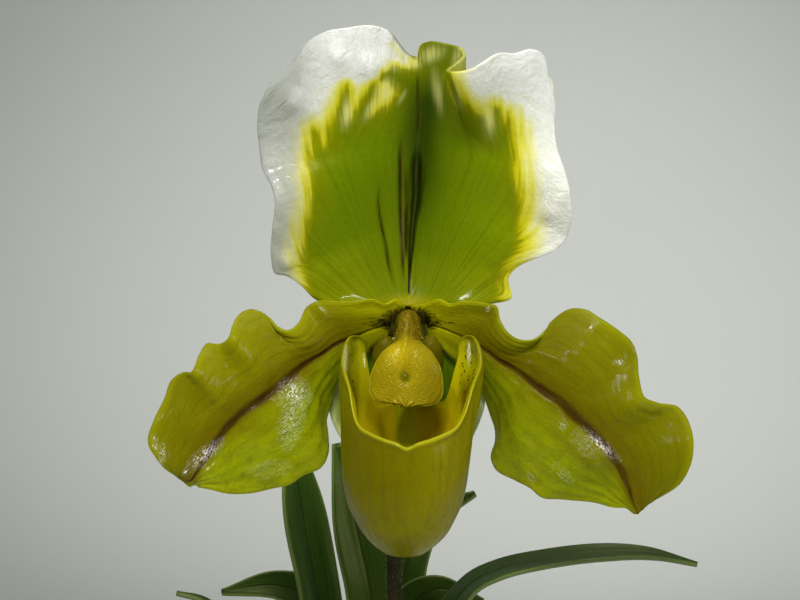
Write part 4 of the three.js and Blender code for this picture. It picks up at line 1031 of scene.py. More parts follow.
def pouch_piece():
    angles = np.linspace(0, 360, 180, endpoint=False)
    rows = np.concatenate([np.linspace(0.02, 0.94, 82, endpoint=False), np.linspace(0.94, 1, 12)])
    a, t = (g.ravel() for g in np.meshgrid(angles, rows))
    outer = pouch_surface(a, t)
    across = pouch_surface(a + 0.5, t) - pouch_surface(a - 0.5, t)
    along = pouch_surface(a, np.minimum(1, t + 1e-3)) - pouch_surface(a, t - 1e-3)
    inward = unit(np.cross(along, across))
    turn = np.abs((a + 540) % 360 - 180)
    front = 1 - fade(turn, 118, 150)
    # the mouth's rolled edge, a shallow crease in the middle of the front, and low ribs
    roll = -0.35 * bump(t, 0.985, 0.016) * front
    crease = 0.5 * bump((a + 180) % 360 - 180, 3, 5) * fade(t, 0.72, 1)
    ribs = 0.05 * np.sin(np.radians(a) * 26) * fade(t, 0.15, 0.4) * fade(1 - t, 0.02, 0.15)
    swell = 0.18 * ripple(np.radians(a) * 2.2, t * 8, 31, 6, 0.8, 2.0) * fade(t, 0.1, 0.4)
    outer = outer + inward * (roll + crease + ribs + swell)[:, None]
    wall = POUCH_WALL + 0.1 * bump(t, 0.98, 0.025) * front
    wall = wall * (1 - 0.6 * fade(t, 0.97, 1.0))
    inner = outer + inward * wall[:, None]
    bottom = pouch_surface(np.zeros(1), np.zeros(1))
    points = np.vstack([outer, inner, bottom, bottom + [0, 0, POUCH_WALL]])
    high, wide = len(rows), len(angles)
    size = high * wide
    k, after = rings(high, wide)
    skin = ring_faces(high, wide)
    rim = np.stack([k[-1], after[-1], after[-1] + size, k[-1] + size], -1)
    toe = np.stack([after[0], k[0], np.full(wide, 2 * size)], -1)
    toe_inner = np.stack([k[0] + size, after[0] + size, np.full(wide, 2 * size + 1)], -1)
    fields = {
        "angle": np.concatenate([turn, turn, [0, 0]]),
        "side": np.concatenate([outer[:, 0], outer[:, 0], [0, 0]]),
        "height": np.concatenate([t, t, [0, 0]]),
        "face": np.concatenate([np.ones(size), np.zeros(size), [1, 0]]),
        "rise": np.concatenate([outer[:, 2], inner[:, 2], [240.1, 241]]),
        "below": (lip_height(np.concatenate([turn, turn, [0, 0]]))
                  - np.concatenate([outer[:, 2], outer[:, 2], [240.1, 240.1]]))}
    inside = np.concatenate([np.zeros(size), np.ones(size), [0, 1]])
    fields["sheen"] = sheen_at(np.vstack([outer, inner, bottom, bottom]), POUCH_SHEEN) * inside
    place = np.concatenate([np.radians(a) * 12, np.radians(a) * 12 + 90, [0, 90]])
    fields["lay"] = np.stack([place, fields["rise"] - 240, np.where(fields["face"] > 0.5, 0.0, 30.0)], -1)
    # the seam of the winding angle is at the back, under the claw
    uv = np.stack([np.concatenate([a / 720, a / 720 + 0.5, [0.25, 0.75]]),
                   np.concatenate([t, t, [0, 0]])], -1)
    return points, [skin, skin[:, ::-1] + size, rim, toe, toe_inner], fields, uv


def pouch_skin():
    s = Skin("pouch_skin", Specular_IOR_Level=0.22, Coat_Roughness=0.12)
    world = s.world()
    below, angle, rise = s.field("below"), s.field("angle"), s.field("rise")
    cloud = s.noise(world, (70, 70, 45), 3, 0.55)
    level = rise + (cloud - 0.5) * 16.0
    s.colour = s.ramp(level, [(238, (104, 104, 4)), (246, (103, 100, 1)), (256, (97, 92, 0)),
                              (264, (100, 94, 0)), (272, (120, 117, 1)), (284, (136, 135, 3))])
    side = s.field("side")
    # painted light: the outside is painted lighter towards the right
    s.paint(s.ease(side, -2, 12, 0, 0.75), (126, 120, 2))
    spots = s.noise(world, (900, 900, 420), 3, 0.6)
    s.paint(s.ease(spots, 0.45, 0.72, 0, 0.35), (92, 78, 4))
    upright = s.ease(s.noise(world, (420, 420, 22), 2, 0.5), 0.52, 0.66, 0, 1)
    s.paint(upright * 0.28, (86, 84, 6))
    rim = s.ease(below + (cloud - 0.5) * 1.0, 0.1, 1.0, 1, 0)
    s.paint(rim * s.ease(rise, 270, 279, 0.9, 0.2), (156, 152, 8))
    # painted light: the inside's own yellow is painted brighter, standing in for the light that comes through
    # the walls into the shaded pouch
    inside_colour_and_painted_light = s.ramp(rise, [(244, (110, 108, 2)), (256, (190, 178, 3)), (265, (196, 184, 3)),
                         (270, (160, 151, 3)), (277, (172, 168, 6)), (284, (184, 182, 14))])
    # the back wall's green stripe, browner to its right
    stripe = s.ease(abs(side + -1.5), 1.5, 2.7, 1, 0) * s.ease(angle, 120, 150, 0, 1)
    brown = s.ease(side, 1.5, 4, 0, 0.8) * s.ease(angle, 120, 150, 0, 1)
    brown = brown * s.ease(rise, 266, 270, 1, 0.1)
    # painted light: the back wall's left part is painted bright yellow, where the shield's shadow falls
    left = s.ease(side, 0.0, -2.0, 0, 0.8) * s.ease(side, -6.6, -5.0, 0, 1)
    left = left * s.ease(angle, 120, 150, 0, 1)
    inside_colour_and_painted_light = s.mix(left * s.ease(rise, 262, 266, 0.5, 1), inside_colour_and_painted_light, (226, 204, 8))
    inside_colour_and_painted_light = s.mix(brown, inside_colour_and_painted_light, (216, 184, 3))
    inside_colour_and_painted_light = s.mix(brown * s.ease(side, 6.5, 8.5, 0, 0.9), inside_colour_and_painted_light, (158, 134, 2))
    inside_colour_and_painted_light = s.mix(stripe * 0.85, inside_colour_and_painted_light, (192, 206, 2))
    # the lobes are browner inside, close under the rim
    flank = s.math("MAXIMUM", s.ease(side, 11.8, 13.4, 0, 1), s.ease(side, -8.6, -10.2, 0, 1))
    band = s.ease(below, 0.6, 1.6, 0, 1) * s.ease(rise, 271, 277, 0.85, 0.08)
    inside_colour_and_painted_light = s.mix(band * flank, inside_colour_and_painted_light, (84, 68, 0))
    # freckles on the side lobes only
    freckles = s.ease(s.cells(world, (1150, 1150, 900), "F1"), 0.18, 0.34, 1, 0)
    patchy = s.ease(s.noise(world, (300, 300, 200), 2, 0.5), 0.4, 0.55, 0, 1)
    freckles = freckles * (flank * patchy * s.ease(rise, 262, 266, 0, 1))
    inside_colour_and_painted_light = s.mix(freckles * s.ease(below, 0.7, 1.4, 0, 1), inside_colour_and_painted_light, (40, 28, 0))
    s.paint(s.back() * s.remap(rim, 0, 1, 1, 0.35), inside_colour_and_painted_light)
    grain = s.noise(world, (1600, 1600, 1100), 4, 0.6)
    s.set("Roughness", s.remap(grain, 0.3, 0.7, 0.24, 0.4))
    hollows = s.noise(world, (260, 260, 120), 3, 0.55)
    s.relief((upright, 0.22, 0.25), (grain, 0.18, 0.12), (hollows, 0.3, 0.8))
    sparks = s.remap(s.noise(s.place("lay"), (2.2, 2.2, 1), 3, 0.6), 0.38, 0.6, 0.1, 1.0)
    s.set("Coat Weight", s.math("MULTIPLY_ADD", s.field("sheen"), sparks, 0.05, clamp=True))
    turned = s.ease(s.field("sheen"), 0.02, 0.2, 0, 1)
    s.catch_light(turned, TOWARDS_KEY["pouch"], 0.4, s.place("lay"), (2.6, 2.6, 1))
    return s.done()


points, faces, fields, uv = pouch_piece()
add_mesh("pouch_fine", points, faces, pouch_skin(), fields, uv, replaces=["pouch"])


# ---------------------------------------------------------------- lower sepals
def green_sepal_skin():
    s = Skin("lower_sepal", Specular_IOR_Level=0.12, Coat_Weight=0.03, Coat_Roughness=0.15)
    lay = s.place("lay")
    cloud = s.noise(lay, (0.2, 0.12, 1), 3, 0.55)
    s.colour = s.ramp(cloud, [(0.3, (124, 142, 50)), (0.5, (148, 164, 76)), (0.7, (170, 180, 100))])
    # painted shade: the front face is painted dark green towards its upper middle, where it lies behind the
    # pouch and petals
    inward = s.ease(abs(s.field("across")), 0.74, 0.95, 1, 0)
    upper = inward * s.ease(s.field("height"), 0.45, 0.8, 1, 0.3)
    s.paint(upper * s.field("face"), (62, 86, 0))
    lines = s.ease(s.noise(lay, (1.7, 0.05, 1), 2, 0.4, (1, 2, 8)), 0.52, 0.66, 0, 1)
    s.paint(lines * 0.45, (86, 112, 14))
    rim = s.ease(s.field("rim"), 0.1, 1.6, 1, 0)
    s.paint(rim * 0.5, (206, 212, 160))
    grain = s.noise(lay, (2.4, 1.6, 1), 5, 0.65, (1, 6, 0))
    s.set("Roughness", s.remap(grain, 0.3, 0.7, 0.3, 0.48))
    s.relief((lines, 0.35, 0.3), (grain, 0.3, 0.2))
    return s.done()


def synsepal_relief(u, v, points):
    waves = 0.25 * ripple(u * 5, v * 9, 44, 6, 0.8, 2.0) * fade(np.abs(u), 0.3, 0.9)
    return (0.07 * np.sin(u * 30) + waves) * fade(v, 0.0, 0.1)


blade("synsepal_fine", tepal(SYNSEPAL, -1), np.linspace(-1, 1, 65), np.linspace(0, 1, 90), TEPAL,
      green_sepal_skin(), petal_fields(SYNSEPAL, 3), synsepal_relief, replaces=["synsepal"])


# ---------------------------------------------------------------- shield
BOSS = (1.0, 274.9)


def shield_fields(u, v, points):
    x, z = points[:, 0], points[:, 2]
    return {
        "lay": np.stack([x, z, np.zeros_like(u)], -1),
        "boss": np.hypot(x - BOSS[0], z - BOSS[1]),
        "height": v,
        "across": u,
        "bright": fade(z, 275.5, 279) * np.exp(-((x + 0.2) / 2.2) ** 2),
        "shaded": fade(x, 2.5, 6.0) * (1 - fade(z, 279, 282)),
        "neck": fade(z, 280.0, 283.4)}


def shield_relief(u, v, points):
    x, z = points[:, 0], points[:, 2]
    boss = np.hypot(x - BOSS[0], z - BOSS[1])
    ridge = 0.55 * bump(x, BOSS[0] + 0.2, 0.9) * fade(z, 275.5, 279)
    cheeks = 0.18 * (bump(x, -2.8, 1.9) + bump(x, 5.0, 1.9)) * bump(z, 276.6, 3.4)
    knob = 0.1 * bump(boss, 0, 0.6) - 0.16 * bump(boss, 0.6, 1.0)
    notch = 0.12 * np.sin(u * 17) * fade(v, 0.86, 1)
    grains = 0.05 * ripple(x * 4.2, z * 4.2, 77, 12, 0.8, 2.4)
    return ridge + cheeks + knob + notch + grains


def shield_skin():
    s = Skin("shield", Coat_Weight=0.1, Coat_Roughness=0.1)
    lay, boss, neck = s.place("lay"), s.field("boss"), s.field("neck")
    cloud = s.noise(lay, (0.35, 0.3, 1), 3, 0.55)
    s.colour = s.ramp(cloud, [(0.3, (138, 122, 0)), (0.5, (150, 132, 1)), (0.7, (162, 146, 2))])
    grains = s.cells(lay, (4.2, 4.2, 1), "F1")
    s.paint(s.ease(grains, 0.15, 0.6, 0, 0.45), (122, 110, 6))
    # painted highlights: small bright glints are painted into the colour, thinned out here and there
    glint = s.ease(s.cells(lay, (2.6, 2.6, 1), "F1", (3, 3, 0)), 0.1, 0.26, 1, 0)
    thin_out = s.ease(s.noise(lay, (0.5, 0.5, 1), 2, 0.5, (1, 8, 0)), 0.38, 0.6, 0.1, 1)
    s.paint(glint * (thin_out * 0.8), (216, 200, 70))
    s.paint(s.field("bright") * 0.6, (194, 170, 8))
    s.paint(s.field("shaded") * 0.4, (116, 100, 0))
    s.paint(s.ease(boss, 0.5, 1.6, 0.8, 0), (80, 78, 0))
    s.set("Specular IOR Level", s.ease(boss, 0.6, 1.6, 0.06, 0.25))
    s.paint(s.ease(abs(s.field("across")), 0.9, 1.0, 0, 0.8), (192, 184, 44))
    hairy = s.noise(lay, (3.0, 1.2, 1), 3, 0.6, (1, 5, 0))
    fuzz = s.ramp(hairy, [(0.3, (76, 60, 1)), (0.5, (108, 92, 2)), (0.7, (138, 122, 10))])
    s.paint(neck, fuzz)
    s.set("Roughness", s.remap(grains, 0.1, 0.6, 0.22, 0.4))
    s.relief((grains, 0.55, -0.16), (hairy, 0.2, 0.3), (glint, 0.5, 0.12))
    return s.done()


shield_body = tepal(STAMINODE, 0.5)


def shield_surface(u, v):
    """The shield, its neck drawn in a little."""
    point = shield_body(u, v)
    point[:, 0] = MIDDLE_X + (point[:, 0] - MIDDLE_X) * (1 - 0.3 * fade(point[:, 2], 279.4, 282.2))
    return point


blade("staminode_fine", shield_surface, np.linspace(-1, 1, 73), np.linspace(0, 1, 110), SHIELD,
      shield_skin(), shield_fields, shield_relief, rounding=0.9, replaces=["staminode"])


# ---------------------------------------------------------------- column, ovary, scape, bract
def waxy_skin(name, stops, vein, scale, rough=(0.32, 0.5), grain_scale=1500, stretch=0.15):
    """A skin by the object's own place: clouds of colour, fine upright veins and grain."""
    s = Skin(name, Specular_IOR_Level=0.1, Coat_Weight=0.02, Coat_Roughness=0.2)
    world = s.world()
    cloud = s.noise(world, (scale, scale, scale * 0.6), 4, 0.6)
    s.colour = s.ramp(cloud, stops)
    lines = s.noise(world, (900, 900, 900 * stretch), 3, 0.5)
    s.paint(s.ease(lines, 0.5, 0.68, 0, 0.5), vein)
    grain = s.noise(world, (grain_scale, grain_scale, grain_scale * 0.7), 3, 0.6)
    s.set("Roughness", s.remap(grain, 0.3, 0.7, rough[0], rough[1]))
    s.relief((lines, 0.3, 0.25), (grain, 0.3, 0.12))
    return s.done()


def ball(at, radii, around, down, rough, seed):
    lon, lat, out, faces = globe(around, down)
    swell = 1 + rough * ripple(lon * 2, lat * 3, seed)
    points = np.vstack([np.array(at) + out * np.array(radii) * swell[:, None],
                        np.array(at) + [0, 0, radii[2]], np.array(at) - [0, 0, radii[2]]])
    return points, faces


def from_base(rows):
    return vec(rows) + np.array(RECEPTACLE)


def way_of(rows, count):
    return Curve(rows).at(np.linspace(0, 1, count))


t = np.linspace(0, 1, 40)
stalk = rod(way_of(from_base([[0, -0.3, 0.2], [0, -6, 0.4], [0, -11, 0.4], [0, -14.7, 0.4]]), 40),
            2.1 + 0.6 * np.sin(np.pi * t), 40)
stigma_radius = 1.9 + 1.7 * fade(t, 0.3, 1)
stigma_radius[-3:] *= [0.98, 0.9, 0.7]
stigma = rod(way_of(from_base([[0, -10.5, -0.4], [-0.2, -12, -4.4], [-0.3, -12.8, -7.8]]), 40),
             stigma_radius, 40)
anthers = [ball(from_base([[side * 4.4, -12.4, -6.6]])[0], (2.7, 1.6, 4.6), 40, 30, 0.03, 3 + side)
           for side in (-1, 1)]
points, faces = joined([stalk, stigma, *anthers])
# painted shade: the column's colours, the anthers' too, are painted darker for the shade they sit in
column_skin_with_painted_shade = waxy_skin("column_skin_with_painted_shade", [(0.3, (70, 68, 2)), (0.5, (84, 78, 3)), (0.7, (98, 88, 4))],
                        (66, 52, 3), 260)
add_mesh("column_fine", points, faces, column_skin_with_painted_shade, replaces=["column"])

RIBS = 6
t, angle = np.meshgrid(np.linspace(0, 1, 110), turns(60), indexing="ij")
round_part = 2.1 + 0.6 * np.sin(np.pi * t) + 1.1 * fade(t, 0.6, 1) + 2.3 * fade(t, 0.9, 1)
ribs = np.cos(RIBS * angle) + 0.25 * np.cos(2 * RIBS * angle)
points, faces = rod(way_of(OVARY, 110), round_part * (1 + 0.065 * ribs), 60)
ovary_points = points[:-2]
add_mesh("ovary_fine", points, faces,
         waxy_skin("ovary_skin", [(0.3, (66, 70, 8)), (0.5, (84, 90, 16)), (0.72, (100, 92, 34))],
                   (60, 44, 20), 180, (0.5, 0.75)), replaces=["ovary"])

t = np.linspace(0, 1, 170)
radius = profile([1.8, 1.6, 1.45, 1.35, 1.5])(t)[:, None] * (
    1 + 0.03 * ripple(np.arange(32)[None] * 0.6, t[:, None] * 30, 12, 6, 0.7, 2.0))
points, faces = rod(way_of(SCAPE, 170), radius, 32)
scape_points = points[:-2]
add_mesh("scape_fine", points, faces,
         waxy_skin("scape_skin", [(0.3, (36, 34, 22)), (0.5, (46, 42, 28)), (0.72, (62, 64, 38))],
                   (34, 26, 26), 150, (0.6, 0.85)), replaces=["scape"])


def bract_surface(u, v):
    centre = Curve(OVARY).at(0.05 + 0.4 * v)
    spread = np.radians(150) * (1 - 0.93 * fade(v, 0.15, 1))
    a = np.pi / 2 + u * spread
    radius = 3.5 + 1.2 * v
    return centre + np.stack([radius * np.cos(a), radius * np.sin(a), np.zeros_like(u)], -1)


def bract_relief(u, v, points):
    return 0.07 * np.sin(u * 26) * fade(v, 0, 0.1) + 0.12 * ripple(u * 4, v * 6, 9, 5, 0.8, 2)


blade("bract_fine", bract_surface, np.linspace(-1, 1, 61), np.linspace(0, 1, 60), BRACT,
      waxy_skin("bract_skin", [(0.3, (112, 130, 52)), (0.5, (134, 150, 66)), (0.72, (150, 160, 90))],
                (84, 92, 30), 160, (0.45, 0.65)), relief=bract_relief, rounding=0.4, facing=(0, 1, 0),
      replaces=["bract"])


# ---------------------------------------------------------------- hairs
PETAL_ROOT, SHIELD_ROOT = 0.42, 0.5     # how far from the middle of the blade the hairs start, mm
SCAPE_HAIRS, OVARY_HAIRS = 2600, 2200


def hair_skin(name, root, tip):
    s = Skin(name, Roughness=0.5, Specular_IOR_Level=0.4)
    mottle = s.noise(s.world(), (700, 700, 700), 1, 0.5)
    s.colour = s.ramp(s.field("along"), [(0, root), (1, tip)])
    s.paint(s.remap(mottle, 0.3, 0.7, 0, 0.35), root)
    return s.done()


def hair_mesh(name, material, roots, directions, lengths, thick, curl, droop, seed):
    points, faces, along = hairs(roots, directions, lengths, thick, curl, droop, seed)
    add_mesh(name, points, faces, material, {"along": along})


def on_rod(points, sides, count, seed, low, high):
    """Places and outward directions spread over a rod's skin."""
    r = np.random.default_rng(seed)
    rows = len(points) // sides
    j = r.integers(int(low * (rows - 1)), int(high * (rows - 1)), count)
    i = r.integers(0, sides, count)
    grid_points = points.reshape(rows, sides, 3)
    centre = grid_points.mean(1)
    here, beyond = grid_points[j, i], grid_points[j + 1, (i + 1) % sides]
    place = here + (beyond - here) * r.random((count, 1))
    return place, unit(place - centre[j]) + r.normal(0, 0.25, (count, 3))


r = np.random.default_rng(88)
place, out = on_rod(scape_points, 32, SCAPE_HAIRS, 5, 0.0, 0.99)
hair_mesh("scape_hairs", hair_skin("grey_hair", (92, 84, 76), (168, 160, 150)),
          place, out + [0, 0, 0.3], r.uniform(0.35, 0.8, SCAPE_HAIRS), 0.03, 0.3, 0.1, 6)
place, out = on_rod(ovary_points, 60, OVARY_HAIRS, 7, 0.03, 0.93)
hair_mesh("ovary_hairs", hair_skin("brown_hair", (96, 78, 50), (176, 160, 128)),
          place, out, r.uniform(0.35, 0.8, OVARY_HAIRS), 0.03, 0.3, 0.15, 8)


def petal_roots(outline, count, seed, chance):
    """Places near a petal's base, on its front face, kept by chance(u, place)."""
    r = np.random.default_rng(seed)
    u, v = r.uniform(-1, 1, count), r.uniform(0.0, 0.34, count)
    surface = tepal(outline, PETAL_BOW)
    keep = r.random(count) < chance(u, surface(u, v))
    u, v = u[keep], v[keep]
    normal = front_normals(surface, u, v)
    return surface(u, v) + normal * PETAL_ROOT, normal


def beard(u, place):
    """Thick beside the shield's neck, thin outward, and a fringe along the lower margin."""
    aside = np.abs(place[:, 0] - MIDDLE_X)
    away = np.hypot(aside * 0.85, (place[:, 2] - 285.2) * 1.4)
    under = 1 - fade(place[:, 2] + 0.4 * aside, 288.8, 289.8)
    cluster = 0.26 * (1.0 - fade(away, 3.2, 6.0)) * under
    spread = 0.04 * (1 - fade(away, 5.5, 10.0)) * under
    lower = 0.4 * bump(u, 1.0, 0.16) * fade(away, 2.5, 4.5) * (1 - fade(away, 8.0, 11.0))
    return np.clip((cluster + spread) * fade(place[:, 2], 284.0, 285.2) + lower, 0, 1)


dark_hair = hair_skin("dark_hair", (22, 7, 3), (40, 18, 6))
for name, outline, side in (("petal_left_hairs", PETAL_LEFT, -1), ("petal_right_hairs", PETAL_RIGHT, 1)):
    place, normal = petal_roots(outline, 16000, 60 + side, beard)
    count = len(place)
    r = np.random.default_rng(70 + side)
    lean = 1.5 * unit((place - [MIDDLE_X, 0, 283.6]) * [1, 0, 1])
    hair_mesh(name, dark_hair, place, normal + lean + r.normal(0, 0.18, (count, 3)),
              r.uniform(0.7, 1.5, count), 0.05, 0.08, 0.0, 90 + side)

r = np.random.default_rng(95)
count = 420
turn = np.where(r.random(count) < 0.5, 1, -1) * r.uniform(0.05, 0.95, count)
out = np.stack([np.cos(turn) * np.sign(turn), np.zeros(count), np.sin(np.abs(turn))], -1)
place = np.array(RECEPTACLE) + [0, 0, 0.3] + out * 2.15
place[:, 1] += r.uniform(-9.5, -3.0, count)
hair_mesh("column_hairs", dark_hair, place, out + [0, -0.25, 0] + r.normal(0, 0.22, (count, 3)),
          r.uniform(0.9, 1.9, count), 0.06, 0.1, 0.0, 96)

r = np.random.default_rng(91)
count = 1500
u, v = r.uniform(-1, 1, count), r.uniform(0.0, 0.36, count)
keep = r.random(count) < 1 - fade(v, 0.22, 0.36)
u, v = u[keep], v[keep]
normal = front_normals(shield_surface, u, v)
hair_mesh("staminode_hairs", hair_skin("golden_hair", (108, 86, 3), (176, 150, 26)),
          shield_surface(u, v) + normal * SHIELD_ROOT,
          normal + np.stack([u * 0.7, np.zeros_like(u), np.full_like(u, 0.1)], -1)
          + r.normal(0, 0.3, (len(u), 3)),
          r.uniform(0.4, 1.0, len(u)), 0.05, 0.3, 0.1, 92)


# ---------------------------------------------------------------- leaves
def leaf_fields(spec, number):
    width, length = profile(spec["widths"]), Curve(spec["route"]).length[-1]

    def fields(u, v, points):
        across = u * width(v) / 2
        return {
            "lay": np.stack([across, v * length, np.full_like(u, number * 37.0)], -1),
            "mid": across,
            "height": v}
    return fields


def leaf_relief(number):
    def relief(u, v, points):
        groove = -0.22 * bump(u, 0, 0.06)
        veins = 0.025 * np.sin(u * 46)
        waves = 0.4 * ripple(u * 1.2, v * 9, 100 + number, 5, 0.8, 2.0) * np.abs(u)
        return (groove + veins + waves * fade(v, 0.45, 0.7)) * fade(v, 0.02, 0.12) * fade(1 - v, 0, 0.06)
    return relief


def leaf_skin(name):
    s = Skin(name, Specular_IOR_Level=0.25, Coat_Weight=0.05, Coat_Roughness=0.2)
    lay, mid, height = s.place("lay"), s.field("mid"), s.field("height")
    cloud = s.noise(lay, (0.12, 0.03, 1), 3, 0.55)
    s.colour = s.ramp(cloud, [(0.3, (30, 56, 14)), (0.5, (40, 66, 18)), (0.7, (54, 78, 28))])
    streaks = s.noise(lay, (2.6, 0.03, 1), 3, 0.55, (2, 0, 0))
    s.paint(s.ease(streaks, 0.48, 0.66, 0, 0.45), (66, 90, 34))
    spots = s.noise(lay, (0.8, 0.35, 1), 4, 0.62, (5, 5, 0))
    s.paint(s.ease(spots, 0.5, 0.75, 0, 0.4), (20, 38, 18))
    s.paint(s.ease(abs(mid), 0.1, 0.7, 0.5, 0), (20, 40, 18))
    s.paint(s.ease(height, 0.0, 0.22, 0.85, 0), (122, 134, 74))
    s.paint(s.ease(s.field("rim"), 0.06, 0.55, 0.65, 0), (112, 128, 72))
    s.paint(s.back() * 0.6, (86, 104, 74))
    grain = s.noise(lay, (2.0, 1.0, 1), 5, 0.65, (1, 6, 0))
    s.set("Roughness", s.remap(grain, 0.3, 0.7, 0.34, 0.52))
    s.relief((streaks, 0.3, 0.15), (grain, 0.2, 0.15))
    return s.done()


green_leaf = leaf_skin("leaf_skin")
for number, (node, spec) in enumerate(LEAVES.items()):
    blade(node + "_fine", leaf_surface(spec), np.linspace(-1, 1, 33), np.linspace(0, 1, 150), LEAF,
          green_leaf, leaf_fields(spec, number), leaf_relief(number), rounding=0.55, replaces=[node])


# ---------------------------------------------------------------- growths, bark mix and pot
POT = {"height": 95, "rim": 55, "foot": 40, "wall": 4, "band": 16, "proud": 2.5, "hole": 5, "holes_at": 22}
MIX_TOP = 84.0
CAD_CHIPS, SMALL_CHIPS = 46, 330
LID_SIDES = 96
CROWNS = [("crown_1", (-2.6, 12 + PLANT_Y, 84), (11, 7, 10.5)),
          ("crown_2", (-2.8, 36 + PLANT_Y, 84), (9.5, 6.5, 10))]


def inside(z):
    return POT["foot"] + (POT["rim"] - POT["proud"] - POT["foot"]) * z / POT["height"] - POT["wall"]


def sheath_skin():
    s = Skin("old_sheath", Specular_IOR_Level=0.25)
    world = s.world()
    cloud = s.noise(world, (160, 160, 60), 4, 0.6)
    s.colour = s.ramp(cloud, [(0.3, (104, 116, 58)), (0.48, (138, 142, 82)), (0.6, (150, 126, 84)),
                              (0.74, (112, 82, 52))])
    fibres = s.noise(world, (1400, 1400, 60), 3, 0.6)
    s.paint(s.ease(fibres, 0.45, 0.7, 0, 0.55), (84, 64, 40))
    s.set("Roughness", s.remap(fibres, 0.3, 0.7, 0.45, 0.75))
    s.relief((fibres, 0.6, 0.4), (cloud, 0.3, 0.8))
    return s.done()


old_sheath = sheath_skin()
for name, at, radii in CROWNS:
    # a bowl of overlapping sheaths: outside up to the rim, then down the inside
    s, a = np.meshgrid(np.linspace(0, 1, 56, endpoint=False), turns(120), indexing="ij")
    high, wide = s.shape
    seed = 50 + int(at[1])
    r = np.random.default_rng(seed)
    outward = s < 0.5
    lap = sum((((a - start) % ROUND) < 4.6) * 0.45 * fade((a - start) % ROUND, 0, 0.16)
              for start in r.uniform(0, ROUND, 4))
    top = 5.4 + 1.4 * ripple(a, a * 0 + 1, seed, 4, 1.0, 3.0) * 0.6 + 0.3 * lap
    rise = np.where(outward, -6 + (top + 6) * np.clip(s / 0.5, 0, 1),
                    top - (top + 0.2) * np.clip((s - 0.5) / 0.5, 0, 1))
    bulge = np.sqrt(np.clip(1 - (np.minimum(np.abs(rise), radii[2] * 0.98) / radii[2]) ** 2, 0.02, 1))
    thin = 1.6 - 0.5 * lap
    rx = np.where(outward, radii[0] * np.maximum(bulge, 0.80), radii[0] * 0.80 - thin * fade(s, 0.5, 0.56))
    ry = np.where(outward, radii[1] * np.maximum(bulge, 0.74), radii[1] * 0.74 - thin * fade(s, 0.5, 0.56))
    folds = 0.12 * np.sin(a * 34 + rise) * outward + 0.35 * lap * outward * fade(rise, -4, 2) - 0.35 * outward
    points = np.stack([at[0] + (rx + folds) * np.cos(a), at[1] + (ry + folds) * np.sin(a), at[2] + rise], -1)
    add_mesh(name + "_fine", points.reshape(-1, 3), [ring_faces(high, wide, closed=True)],
             old_sheath, shift=0, replaces=[name])


def bark_skin():
    s = Skin("bark", Specular_IOR_Level=0.2)
    world = s.world()
    tone = s.field("tone")
    cloud = s.noise(world, (240, 240, 240), 5, 0.65)
    s.colour = s.ramp(tone * 0.6 + cloud * 0.4,
                      [(0.15, (46, 30, 20)), (0.35, (78, 50, 32)), (0.55, (112, 74, 46)),
                       (0.7, (142, 102, 68)), (0.85, (96, 80, 66))])
    layers = s.noise(world, (320, 320, 1900), 4, 0.6, distort=0.4)
    s.paint(s.ease(layers, 0.42, 0.66, 0, 0.55), (40, 26, 18))
    dust = s.noise(world, (900, 900, 900), 3, 0.7)
    s.paint(s.ease(dust, 0.6, 0.75, 0, 0.5), (170, 150, 120))
    s.set("Roughness", s.remap(dust, 0.3, 0.7, 0.72, 0.95))
    s.relief((layers, 0.7, 0.6), (dust, 0.4, 0.25), (cloud, 0.4, 1.0))
    return s.done()


def chip(r, at, size, turn, tilt):
    """A weathered piece of bark: a rounded slab, rough on its faces and broken at its ends."""
    _, _, out, faces = globe(14, 9)
    out = np.vstack([out, [[0, 0, 1], [0, 0, -1]]])
    out = np.sign(out) * np.abs(out) ** 0.42
    out *= 1 + r.normal(0, 0.07, (len(out), 1))
    out[:, 0] *= 1 + 0.22 * np.tanh(2 * out[:, 1]) * r.uniform(-1, 1)
    out[:, 1] *= 1 + 0.22 * np.tanh(2 * out[:, 0]) * r.uniform(-1, 1)
    points = out * np.array(size) / 2
    points[:, 2] += r.uniform(-0.05, 0.05) * points[:, 0] ** 2 / 2
    for axis, angle in ((0, tilt[0]), (1, tilt[1]), (2, turn)):
        c, s = math.cos(angle), math.sin(angle)
        i, j = [(1, 2), (2, 0), (0, 1)][axis]
        p, q = points[:, i] * c - points[:, j] * s, points[:, i] * s + points[:, j] * c
        points[:, i], points[:, j] = p, q
    return points + at, faces


